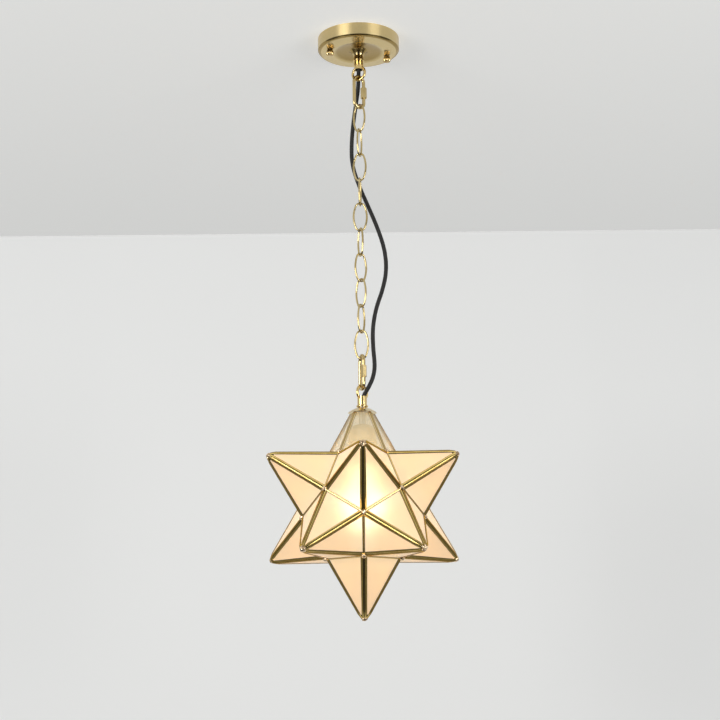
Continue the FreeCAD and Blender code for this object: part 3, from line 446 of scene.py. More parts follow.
@dataclass(frozen=True)
class Moulded(Finish):
    """A plain moulded or fired surface with faint mottling, which may glow."""

    light: Colour
    dark: Colour
    roughness: float
    emission: float = 0.0

    def shader(self, board: NodeBoard) -> Node:
        """Mottled tones with a fine grit.

        Args:
            board: Where its nodes go.

        Returns:
            The shader.
        """
        cloud = board.noise(120.0, 5.0)
        tone = board.ramp(cloud, (0.32, self.dark), (0.66, self.light))
        # Emission is the lamp's own light on the bulb glass, and a painted glow on the socket.
        glow = {"Emission_Color": tone, "Emission_Strength": self.emission} if self.emission else {}
        return board.add("BsdfPrincipled", Base_Color=tone,
                         Roughness=board.span(cloud, 0.3, 0.7, self.roughness * 1.15, self.roughness * 0.85),
                         Normal=board.bump(board.noise(1500.0, 2.0), 0.15, 0.05 * MM), **glow)


@dataclass(frozen=True)
class Braid(Finish):
    """Braided textile sleeve, drawn on the cord's own UV map."""

    thread: Colour
    shadow: Colour
    strands: float = 12.0
    pitch: float = 3.5 * MM

    def shader(self, board: NodeBoard) -> Node:
        """Two sets of strands that cross.

        Args:
            board: Where its nodes go.

        Returns:
            The shader.
        """
        lines = board.add("UVMap", uv_map="along")
        bands = []
        for lean in (45.0, -45.0):
            leaning = board.add("Mapping", Vector=lines, Scale=(self.strands, 1.0 / self.pitch, 1.0),
                                Rotation=(0.0, 0.0, math.radians(lean)), vector_type="POINT")
            bands.append(board.add("TexWave", Vector=leaning, Scale=0.5).outputs["Fac"])
        woven = board.math("MAXIMUM", *bands)
        return board.add("BsdfPrincipled", Roughness=0.5, Specular_IOR_Level=0.25, Sheen_Weight=0.05,
                         Base_Color=board.ramp(woven, (0.35, self.shadow), (0.9, self.thread)),
                         Normal=board.bump(woven, 0.5, 0.3 * MM))


@dataclass(frozen=True)
class Backdrop(Finish):
    """Plain matt sheet that camera, glossy and transmission rays see, and only from its front."""

    tone: Colour
    paleness: float

    def shader(self, board: NodeBoard) -> Node:
        """Matt and pale to the rays that see it, clear to all others.

        Args:
            board: Where its nodes go.

        Returns:
            The shader.
        """
        rays = board.add("LightPath").outputs
        seen = board.math("ADD", rays["Is Camera Ray"], rays["Is Glossy Ray"], clamp=True)
        seen = board.math("ADD", seen, rays["Is Transmission Ray"], clamp=True)
        seen = board.math("SUBTRACT", seen, board.add("NewGeometry").outputs["Backfacing"], clamp=True)
        tone = (*self.tone, 1.0)
        front = board.add("AddShader", board.add("BsdfDiffuse", Color=tone),
                          board.add("Emission", Color=tone, Strength=self.paleness))
        return board.add("MixShader", seen, board.add("BsdfTransparent"), front)


# ---------------------------------------------------------------- mesh helpers


def mesh_object(name: str, mesh: Mesh, material: Material | None = None) -> Object:
    """Put a mesh in the scene.

    Args:
        name: The piece's name.
        mesh: Its mesh, with its place in it.
        material: Its finish, where it has one yet.

    Returns:
        The new object.
    """
    piece = bpy.data.objects.new(name, mesh)
    if material:
        mesh.materials.append(material)
    bpy.context.scene.collection.objects.link(piece)
    return piece


def dress(finish: Finish, *nodes: str) -> None:
    """Give a finish to CAD nodes.

    Args:
        finish: The finish.
        *nodes: The nodes' names.
    """
    material = finish.material()
    for name in nodes:
        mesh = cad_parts[name].data
        mesh.materials.clear()
        mesh.materials.append(material)
    log.info("%s on %d nodes", finish.name, len(nodes))


def around(azimuth: float, radius: float, height: float = 0.0) -> Vector:
    """Point at an azimuth from the viewer's side, a radius and a height."""
    angle = math.radians(azimuth)
    return Vector((radius * math.sin(angle), -radius * math.cos(angle), height))


def level_ring(shape: BMesh, centre: Vector, sides: int, reach: Callable[[float], float]) -> Ring:
    """Level ring of points, or one point where the radius is nothing.

    Args:
        shape: The mesh that they are added to.
        centre: The ring's centre.
        sides: Points round the ring.
        reach: Radius at each turn.

    Returns:
        The points.
    """
    if reach(0.0) <= 0.0:
        return [shape.verts.new(centre)]
    turns = [2.0 * math.pi * k / sides for k in range(sides)]
    return [shape.verts.new(centre + reach(turn) * Vector((math.cos(turn), math.sin(turn), 0.0)))
            for turn in turns]


def skin(shape: BMesh, rings: list[Ring]) -> list[BMFace]:
    """Faces from ring to ring and over each end that isn't a single point.

    Args:
        shape: The mesh that they are added to.
        rings: The rings, in order.

    Returns:
        The faces, those over the ends last.
    """
    faces = []
    for lower, upper in zip(rings, rings[1:]):
        count = max(len(lower), len(upper))
        for k in range(count):
            after = (k + 1) % count
            corners = (lower[k % len(lower)], lower[after % len(lower)],
                       upper[after % len(upper)], upper[k % len(upper)])
            faces.append(shape.faces.new(list(dict.fromkeys(corners))))
    return faces + [shape.faces.new(ring) for ring in (rings[0], rings[-1]) if len(ring) > 1]


def turned_mesh(name: str, shape: BMesh, rings: list[Ring]) -> Mesh:
    """Smooth mesh with outward faces over the rings of a turned form.

    Args:
        name: The mesh's name.
        shape: The bmesh that holds the rings.
        rings: The rings, in order.

    Returns:
        The mesh.
    """
    skin(shape, rings)
    bmesh.ops.remove_doubles(shape, verts=shape.verts, dist=MERGE)
    bmesh.ops.recalc_face_normals(shape, faces=shape.faces)
    return kept_mesh(name, shape)


def kept_mesh(name: str, shape: BMesh, smooth: bool = True) -> Mesh:
    """Write a bmesh to a new mesh and free it.

    Args:
        name: The mesh's name.
        shape: The bmesh.
        smooth: Whether all its faces are shaded smooth.

    Returns:
        The mesh.
    """
    for face in shape.faces:
        face.smooth = face.smooth or smooth
    mesh = bpy.data.meshes.new(name)
    shape.to_mesh(mesh)
    shape.free()
    return mesh


# ---------------------------------------------------------------- camera and stage


@dataclass
class Studio:
    """Camera at the photograph's angle, soft light, and a plain pale room."""

    camera_place: Place = (-0.0025, -2.2217, -0.9935)
    pitch: float = 12.74
    roll: float = -0.59
    focal_length: float = 79.83
    wall_distance: float = 0.97
    floor_depth: float = 1.9
    half_width: float = 4.0
    ceiling_front: float = -0.45
    ceiling_height: float = 0.4 * MM
    ceiling_tone: Colour = (0.66, 0.665, 0.655)
    ceiling_paleness: float = 0.74
    wall_tone: Colour = (0.745, 0.75, 0.745)
    wall_paleness: float = 0.05
    floor_width: float = 2.2
    floor_front: float = -0.3
    floor_tone: Colour = (0.66, 0.655, 0.64)
    floor_paleness: float = 0.0
    key_place: Place = (-1.9, -2.3, -0.5)
    key_power: float = 60.0
    fill_place: Place = (2.1, -2.2, -0.8)
    fill_power: float = 45.0
    lamp_size: float = 1.5
    lamp_aim: Place = (0.0, 0.0, -0.45)

    def add_camera(self) -> None:
        """Make the scene's camera."""
        lens = bpy.data.cameras.new("camera")
        lens.lens = self.focal_length
        lens.sensor_width = 36.0
        lens.clip_end = 50.0
        camera = bpy.data.objects.new("camera", lens)
        upright = Matrix.Rotation(math.radians(90.0 + self.pitch), 4, "X")
        leaning = Matrix.Rotation(math.radians(self.roll), 4, "Z")
        camera.matrix_world = Matrix.Translation(self.camera_place) @ upright @ leaning
        bpy.context.scene.collection.objects.link(camera)
        bpy.context.scene.camera = camera

    def add_sheet(self, name: str, corners: list[Place], tone: Colour, paleness: float) -> None:
        """Make one flat sheet of the room.

        Args:
            name: The sheet's name.
            corners: Its corners, counter-clockwise from its front.
            tone: Its colour.
            paleness: Share of its colour that it shows whatever light falls on it.
        """
        mesh = bpy.data.meshes.new(name)
        mesh.from_pydata(corners, [], [tuple(range(len(corners)))])
        sheet = mesh_object(name, mesh, Backdrop(name, tone, paleness).material())

    def add_room(self) -> None:
        """Make the ceiling, the wall behind and the floor."""
        wide, side = self.half_width, self.floor_width / 2.0
        back, low, high = self.wall_distance, -self.floor_depth, self.ceiling_height
        near, front = self.ceiling_front, self.floor_front
        self.add_sheet("room_ceiling", [(-wide, back, high), (wide, back, high), (wide, near, high),
                                        (-wide, near, high)], self.ceiling_tone, self.ceiling_paleness)
        self.add_sheet("room_wall", [(-wide, back, low), (wide, back, low), (wide, back, high),
                                     (-wide, back, high)], self.wall_tone, self.wall_paleness)
        self.add_sheet("room_floor", [(-side, front, low), (side, front, low), (side, back, low),
                                      (-side, back, low)], self.floor_tone, self.floor_paleness)

    def add_light(self, name: str, place: Vector, power: float) -> None:
        """Make a soft square lamp that faces the middle of the pendant.

        Args:
            name: The lamp's name.
            place: Where it stands.
            power: Its power in watts.
        """
        data = bpy.data.lights.new(name, "AREA")
        data.shape = "SQUARE"
        data.size = self.lamp_size
        data.energy = power
        lamp = bpy.data.objects.new(name, data)
        aim = (Vector(self.lamp_aim) - place).to_track_quat("-Z", "Y")
        lamp.matrix_world = Matrix.Translation(place) @ aim.to_matrix().to_4x4()
        bpy.context.scene.collection.objects.link(lamp)

    def add_world(self) -> None:
        """Soft surroundings: pale above and to the sides, deeper in front and below the horizon."""
        world = bpy.data.worlds.new("surroundings")
        bpy.context.scene.world = world
        world.use_nodes = True
        board = NodeBoard(world.node_tree)
        parts = board.add("SeparateXYZ", board.add("TexCoord").outputs["Generated"]).outputs
        stops = [(0.0, 0.12), (0.46, 0.12), (0.54, 0.20), (0.62, 0.95), (0.80, 1.0)]
        sky = board.ramp(board.span(parts["Z"], -1.0, 1.0),
                         *((height, (tone, tone, tone * 0.985)) for height, tone in stops))
        boxes = board.span(board.math("ABSOLUTE", parts["X"]), 0.18, 0.55, 0.25, 1.30)
        board.set(world.node_tree.nodes["Background"], Color=sky, Strength=boxes)
        bpy.context.scene.view_settings.view_transform = "Standard"

    def build(self) -> None:
        """Build the room, the light and the surroundings."""
        self.add_room()
        self.add_world()
        self.add_light("key", Vector(self.key_place), self.key_power)
        self.add_light("fill", Vector(self.fill_place), self.fill_power)


# ---------------------------------------------------------------- power cord


@dataclass
class PowerCord:
    """Braided cord that weaves past the chain, cut where it passes from one link's care to the next."""

    diameter: float = 6.0 * MM
    step: float = 1.5 * MM
    shortest_step: float = 0.45 * MM
    sides: int = 20
    first_height: float = -84.1 * MM
    second_height: float = -124.8 * MM
    link_pitch: float = 38.2 * MM
    lower_height: float = -509.3 * MM
    route: list[Place] = field(default_factory=lambda: [
        (0.0, 0.0, -0.038), (0.0, 0.0, -0.0472), (-0.0004, 0.0082, -0.0582), (-0.0013, 0.0124, -0.077),
        (-0.005, 0.0145, -0.1), (-0.009, 0.0165, -0.127), (-0.012, 0.018, -0.16), (-0.0115, 0.0185, -0.191),
        (-0.001, 0.0185, -0.225), (0.012, 0.0185, -0.256), (0.0255, 0.017, -0.29), (0.0355, 0.014, -0.324),
        (0.0375, 0.0115, -0.356), (0.0315, 0.0095, -0.385), (0.021, 0.008, -0.414), (0.016, 0.0065, -0.444),
        (0.0165, 0.004, -0.474), (0.0188, -0.0006, -0.499), (0.0164, -0.0046, -0.5165),
        (0.0102, -0.0063, -0.531), (0.0, 0.0, -0.5465), (0.0, 0.0, -0.557)])

    def spline_points(self) -> list[Vector]:
        """Points of the smooth line through the route.

        Returns:
            Points a step apart, from the top down.
        """
        curve = bpy.data.curves.new("cord_line", "CURVE")
        curve.dimensions = "3D"
        curve.resolution_u = 64
        spline = curve.splines.new("NURBS")
        spline.points.add(len(self.route) - 1)
        for point, place in zip(spline.points, self.route):
            point.co = (*place, 1.0)
        spline.order_u = 3
        spline.use_endpoint_u = True
        line = bpy.data.objects.new("cord_line", curve)
        bpy.context.scene.collection.objects.link(line)
        bpy.context.view_layer.update()
        dense = bpy.data.meshes.new_from_object(line)
        points = [vertex.co.copy() for vertex in dense.vertices]
        bpy.data.objects.remove(line)
        bpy.data.meshes.remove(dense)
        if points[0].z < points[-1].z:
            points.reverse()
        return self.spaced(points)

    def spaced(self, points: list[Vector]) -> list[Vector]:
        """Points moved to equal steps along their line.

        Args:
            points: Points close together.

        Returns:
            Points a step apart with the same ends.
        """
        evened = [points[0]]
        carried = 0.0
        for before, after in zip(points, points[1:]):
            length = (after - before).length
            while carried + length >= self.step:
                share = (self.step - carried) / length
                before = before.lerp(after, share)
                evened.append(before.copy())
                length = (after - before).length
                carried = 0.0
            carried += length
        if (evened[-1] - points[-1]).length > self.shortest_step:
            evened.append(points[-1])
        else:
            evened[-1] = points[-1]
        return evened

    def tube(self, name: str, points: list[Vector], start_length: float) -> Mesh:
        """Round tube along points, with a UV map that runs along it.

        Args:
            name: The mesh's name.
            points: The tube's centreline.
            start_length: Length of cord before the first point, in metres.

        Returns:
            The mesh.
        """
        shape = bmesh.new()
        layer = shape.loops.layers.uv.new("along")
        side = Vector((1.0, 0.0, 0.0))
        rings: list[Ring] = []
        lengths = [start_length]
        for index, point in enumerate(points):
            tangent = (points[min(index + 1, len(points) - 1)] - points[max(index - 1, 0)]).normalized()
            side = (side - tangent * side.dot(tangent)).normalized()
            across = tangent.cross(side)
            if index:
                lengths.append(lengths[-1] + (point - points[index - 1]).length)
            turns = [2.0 * math.pi * k / self.sides for k in range(self.sides)]
            rings.append([shape.verts.new(point + (side * math.cos(turn) + across * math.sin(turn))
                                          * (self.diameter / 2.0)) for turn in turns])
        for number, face in enumerate(skin(shape, rings)[:-2]):
            row, k = divmod(number, self.sides)
            face.smooth = True
            corners = ((k, row), (k + 1, row), (k + 1, row + 1), (k, row + 1))
            for loop, (turned, at) in zip(face.loops, corners):
                loop[layer].uv = (turned / self.sides, lengths[at])
        bmesh.ops.recalc_face_normals(shape, faces=shape.faces)
        return kept_mesh(name, shape, smooth=False)

    def heights(self) -> list[float]:
        """Heights at which the cord is cut: the middles of the quick links and the links."""
        links = [self.second_height - self.link_pitch * k for k in range(CHAIN_LINKS)]
        return [self.first_height, *links, self.lower_height]

    def build(self) -> None:
        """Build the cord's stretches, cut at the middles of the quick links and the links."""
        finish = Braid("braided_cord", (0.020, 0.019, 0.018), (0.005, 0.005, 0.005)).material()
        points = self.spline_points()
        nearest = [min(range(len(points)), key=lambda k: abs(points[k].z - height))
                   for height in self.heights()]
        cuts = [0, *nearest, len(points) - 1]
        for index, (first, last) in enumerate(zip(cuts, cuts[1:])):
            stretch = points[first:last + 1]
            name = "cord_stretch_%02d" % (index + 1)
            piece = mesh_object(name, self.tube(name, stretch, self.step * first), finish)
            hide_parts("power_cord")
            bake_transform(piece)


# ---------------------------------------------------------------- ceiling set and chain


@dataclass
class CeilingSet:
    """Canopy with its bracket, screws, nipple and loop, and the two fluted ball nuts."""

    nut_radius: float = 5.8 * MM
    neck_radius: float = 4.4 * MM
    flange_height: float = 1.4 * MM
    bead_height: float = 7.2 * MM
    sides: int = 96
    flutes: int = 12
    flute_depth: float = 0.13
    stud_radius: float = 2.3 * MM
    stud_sunk: float = 1.0 * MM
    bead_rings: int = 12
    end_radius: float = 3.168 * MM
    end_heights: tuple[float, float] = (0.5 * MM, 0.7 * MM)

    def nut_profile(self, top: float) -> list[tuple[float, float]]:
        """Rings of a ball nut from its top face down.

        Args:
            top: Height of its top face.

        Returns:
            Radius and height of each ring.
        """
        profile = [(0.0, top - self.stud_sunk), (self.stud_radius, top - self.stud_sunk),
                   (self.stud_radius, top), (self.neck_radius, top),
                   (self.neck_radius, top - self.flange_height)]
        for k in range(1, self.bead_rings + 1):
            share = k / self.bead_rings
            swell = (self.nut_radius - self.neck_radius) * math.sin(math.pi * share)
            profile.append((self.neck_radius + swell, top - self.flange_height - self.bead_height * share))
        bottom = top - self.flange_height - self.bead_height
        return [*profile, (self.end_radius, bottom - self.end_heights[0]), (0.0, bottom - self.end_heights[1])]

    def build_nut(self, side: str, finish: Material) -> None:
        """Build one fluted ball nut.

        Args:
            side: Which nut, left or right.
            finish: Its material.
        """
        low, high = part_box("canopy_nut_%s" % side)
        name = "fluted_nut_%s" % side
        shape = bmesh.new()
        rings = []
        for radius, height in self.nut_profile(high[2]):
            centre = Vector(((low[0] + high[0]) / 2.0, (low[1] + high[1]) / 2.0, height))
            rings.append(level_ring(shape, centre, self.sides, lambda turn: radius * (
                1.0 - self.flute_depth * (0.5 - 0.5 * math.cos(self.flutes * turn)))))
        piece = mesh_object(name, turned_mesh(name, shape, rings), finish)
        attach(piece, "nut_%s" % side)
        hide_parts("canopy_nut_%s" % side)
        log.info("%s", name)

    def build(self) -> None:
        """Dress the ceiling set's nodes and build its nuts."""
        # The canopy's second colour is the painted dark reflection on its bevel and dish.
        dress(SpunCanopy("canopy_brass", (0.66, 0.52, 0.26), (0.38, 0.27, 0.10)), "canopy")
        dress(Metal("polished_brass", (0.76, 0.58, 0.27), (0.64, 0.46, 0.18), 0.05, 0.16, Grain.SPUN),
              "loop_upper", "loop_lower")
        dress(Metal("cap_brass", (0.80, 0.68, 0.43), (0.72, 0.58, 0.33), 0.10, 0.20, Grain.SPUN), "star_cap")
        dress(Metal("zinc_steel", (0.62, 0.61, 0.58), (0.46, 0.46, 0.45), 0.25, 0.45, Grain.CAST, 0.4),
              "crossbar_bracket", "bracket_screws", "upper_nipple", "upper_nipple_nut", "lower_nipple",
              "lower_nipple_nut")
        dress(Moulded("connector_plastic", (0.78, 0.34, 0.05), (0.66, 0.27, 0.04), 0.45), "supply_wiring")
        copper = Metal("copper_brass", (0.70, 0.53, 0.26), (0.44, 0.30, 0.12), 0.10, 0.22, Grain.CAST)
        nut_finish = copper.material()
        for side in ("left", "right"):
            self.build_nut(side, nut_finish)


@dataclass
class Chain:
    """Ten oval links between two quick links."""

    links: int = CHAIN_LINKS

    def build(self) -> None:
        """Dress the links, the quick links and their sleeves."""
        dress(Metal("chain_brass", (0.62, 0.50, 0.26), (0.46, 0.35, 0.15), 0.06, 0.18, Grain.DRAWN),
              *["chain_link_%02d" % (k + 1) for k in range(self.links)])
        dress(Metal("link_brass", (0.66, 0.52, 0.26), (0.50, 0.37, 0.16), 0.07, 0.18, Grain.DRAWN),
              "quick_link_upper", "quick_link_lower", "quick_link_upper_sleeve", "quick_link_lower_sleeve")


# ---------------------------------------------------------------- star


@dataclass(frozen=True)
class CameSection:
    """Sizes of a brass came's channel, from the edge of its pane and from the pane's middle plane."""

    lip: float = 4.6 * MM
    inner_lip: float = 4.0 * MM
    back: float = 2.1 * MM
    height: float = 1.58 * MM
    glass: float = 1.02 * MM
    seam_start: float = 0.95 * MM
    seam_height: float = 0.98 * MM
    valley_lip: float = 2.55 * MM
    taper: float = 0.20

    def ridge_profile(self) -> list[tuple[float, float, float]]:
        """One wing of a ridge from its inner lip round to its seam.

        Returns:
            Distance from the edge, offset from the pane's middle and strength of the painted shade at each
            point.
        """
        # Painted shade is strongest on the lips and beside the glass, and nothing on the came's crown.
        return [(self.inner_lip, -self.height + 0.18 * MM, 0.5), (self.inner_lip, -self.glass, 1.0),
                (self.back, -self.glass, 1.0), (self.back, self.glass, 1.0), (self.lip, self.glass, 1.0),
                (self.lip, self.height * 0.84, 1.0), (self.lip - 0.30 * MM, self.height * 0.95, 0.75),
                (self.lip - 0.8 * MM, self.height, 0.0),
                (self.seam_start + 1.1 * MM, self.height * 1.02, 0.0),
                (self.seam_start + 0.4 * MM, self.height, 0.0), (self.seam_start, self.height * 0.93, 0.9)]

    def seam_profile(self) -> list[tuple[float, float, float]]:
        """The soldered seam between the two wings of a ridge, as distance, offset and strength of painted
        shade.
        """
        return [(0.90 * MM, self.seam_height, 0.9), (0.25 * MM, self.seam_height + 0.12 * MM, 0.35)]

    def valley_profile(self, lean: float, gap: float) -> list[tuple[float, float, float]]:
        """The channel along a valley.

        Args:
            lean: How far the plane shared with the neighbour leans per unit of offset.
            gap: Room between the channel and that plane.

        Returns:
            Distance from the edge, offset from the pane's middle and strength of the painted shade at each
            point.
        """
        high = self.height
        edge = self.valley_lip
        return [(lean * high * 0.85 + gap, high * 0.85, 0.8), (lean * high + 0.35 * MM, high * 0.97, 0.1),
                (edge - 0.9 * MM, high, 0.0), (edge - 0.4 * MM, high * 0.96, 0.2),
                (edge - 0.1 * MM, high * 0.84, 1.0), (edge, self.glass, 1.0), (self.back, self.glass, 1.0),
                (self.back, -self.glass, 1.0), (edge, -self.glass, 1.0), (edge, -high * 0.9, 0.5),
                (gap - lean * high * 0.9, -high * 0.9, 0.5)]


@dataclass
class StarPoint:
    """One upright five-sided point: panes in channels that are soldered along the ridges.

    All measures are from the star's centre, with the point's axis along +Z.
    """

    pane_base: float
    apex: float
    face_distance: float
    cut: float
    section: CameSection
    seat_gap: float = 0.05 * MM
    tip_round: float = 5.0 * MM
    tip_share: float = 0.72
    tip_reach: float = 1.6
    ridge_steps: int = 14
    ridge_lift: float = 0.05 * MM
    ridge_spread: float = 0.02
    foot_power: int = 8
    valley_steps: int = 8
    valley_lift: float = 0.04 * MM
    valley_inset: float = 0.4 * MM
    pane_ease: float = 0.25 * MM
    pane_half: float = 1.0 * MM

    def __post_init__(self) -> None:
        """Work out the proportions of a pane."""
        self.ring_radius = self.pane_base / (2.0 * math.sin(math.pi / SIDES))
        self.side_radius = self.pane_base / (2.0 * math.tan(math.pi / SIDES))
        self.pane_height = math.hypot(self.apex - self.face_distance, self.side_radius)
        self.pane_distance = self.side_radius * self.apex / self.pane_height
        self.base_slope = self.pane_base / 2.0 / self.pane_height
        self.lean = (self.apex * math.sin(math.atan2(self.apex - self.face_distance, self.side_radius))
                     - self.pane_height) / self.pane_distance

    def corner(self, k: int) -> Vector:
        """Corner of the base between the panes k and k + 1."""
        return around(STEP * (k + 0.5), self.ring_radius, self.face_distance)

    def normal(self, k: int) -> Vector:
        """Outward normal of a pane.

        Args:
            k: Which pane.

        Returns:
            The normal.
        """
        edge = self.corner(k) - self.corner(k - 1)
        up = Vector((0.0, 0.0, self.apex)) - self.corner(k - 1)
        upright = edge.cross(up).normalized()
        return upright if upright.dot(around(STEP * k, 1.0)) > 0.0 else -upright

    def rounded(self, place: Vector) -> Vector:
        """Draw a place in toward the axis over the last stretch of the tip.

        Args:
            place: The place.

        Returns:
            The place drawn in.
        """
        share = min(max((place.z - self.cut + self.tip_round) / self.tip_round, 0.0), self.tip_reach)
        draw = 1.0 - (1.0 - self.tip_share) * share * share / self.tip_reach
        return Vector((place.x * draw, place.y * draw, place.z))

    def cut_share(self) -> float:
        """Share of the way from the base to the apex at which the point is cut."""
        return (self.cut - self.face_distance) / (self.apex - self.face_distance)

    def ridge_rings(self, k: int, wobble: random.Random) -> list[Outline]:
        """Sections of the pair of channels along a ridge.

        Args:
            k: Which ridge, between the panes k and k + 1.
            wobble: Source of the small unevenness of hand work.

        Returns:
            Closed rings from the base to the tip, each point with the strength of its painted shade.
        """
        part = self.section
        foot = self.corner(k)
        tip = foot.lerp(Vector((0.0, 0.0, self.apex)), self.cut_share())
        along = (tip - foot).normalized()
        reach = (tip - foot).length
        middle = (self.normal(k) + self.normal(k + 1)).normalized()
        half = math.acos(middle.dot(self.normal(k)))
        rings = []
        for step in range(self.ridge_steps + 1):
            share = step / self.ridge_steps
            lift = wobble.uniform(-self.ridge_lift, self.ridge_lift)
            spread = (1.0 - part.taper * share) * (1.0 + wobble.uniform(-self.ridge_spread, self.ridge_spread))
            shear = (1.0 - share) ** self.foot_power
            centre = foot + along * reach * share
            ring: list[Mark] = [(centre - middle * (part.height / math.cos(half)), 0.5)]
            for side, pane in ((1, k), (-1, k + 1)):
                normal = self.normal(pane)
                wing = normal.cross(along).normalized()
                if wing.dot(around(STEP * pane, self.side_radius, self.face_distance) - foot) < 0.0:
                    wing = -wing
                cross = (wing - middle * wing.dot(middle)).normalized()
                points: list[Mark] = []
                for across, offset, painted_shade in part.ridge_profile():
                    at = centre + along * (across * self.base_slope * shear)
                    points.append((at + wing * across * spread + normal * (offset + lift), painted_shade))
                for across, offset, painted_shade in part.seam_profile():
                    points.append((centre + cross * across + middle * (offset + lift), painted_shade))
                ring += points if side > 0 else reversed(points)
                if side > 0:
                    ring.append((centre + middle * (part.seam_height + lift), 0.15))
            rings.append([(self.rounded(point), painted_shade) for point, painted_shade in ring])
        return rings

    def valley_rings(self, k: int, wobble: random.Random) -> list[Outline]:
        """Sections of the channel along a pane's base, up to the plane it shares with its neighbour.

        Args:
            k: Which pane.
            wobble: Source of the small unevenness of hand work.

        Returns:
            Closed rings from one corner to the other, each point with the strength of its painted shade.
        """
        part = self.section
        start = self.corner(k - 1)
        end = self.corner(k)
        along = (end - start).normalized()
        reach = (end - start).length
        normal = self.normal(k)
        wing = normal.cross(along).normalized()
        if wing.z < 0.0:
            wing = -wing
        rings = []
        for step in range(self.valley_steps + 1):
            share = step / self.valley_steps
            lift = wobble.uniform(-self.valley_lift, self.valley_lift)
            ring: list[Mark] = []
            for across, offset, painted_shade in part.valley_profile(self.lean, self.seat_gap):
                inset = across * self.base_slope + self.valley_inset
                at = start + along * (inset + (reach - 2.0 * inset) * share)
                ring.append((at + wing * across + normal * (offset + lift), painted_shade))
            rings.append(ring)
        return rings

    def pane_rings(self, k: int, inset: float, setback: float) -> list[Outline]:
        """Outline of a pane on four levels through its thickness, with its edges eased.

        Args:
            k: Which pane.
            inset: How far it lies from the ridges and the valley.
            setback: How far it lies from the cut.

        Returns:
            Closed rings from the inner face to the outer one.
        """
        normal = self.normal(k)
        foot = (self.corner(k - 1) + self.corner(k)) / 2.0
        up = (Vector((0.0, 0.0, self.apex)) - foot).normalized()
        across = (self.corner(k) - self.corner(k - 1)).normalized()
        top = (self.cut - setback - self.face_distance) / (self.apex - self.face_distance) * self.pane_height
        side = math.hypot(1.0, self.base_slope)
        rings = []
        for level, ease in ((-1.0, self.pane_ease), (-0.75, 0.0), (0.75, 0.0), (1.0, self.pane_ease)):
            edge = inset + ease
            ring = []
            for height in (edge, top - ease):
                half = (self.pane_height - height) * self.base_slope - edge * side
                ends = (-half, half) if height == edge else (half, -half)
                ring += [(foot + up * height + across * end + normal * level * self.pane_half, 0.0)
                         for end in ends]
            rings.append(ring)
        return rings


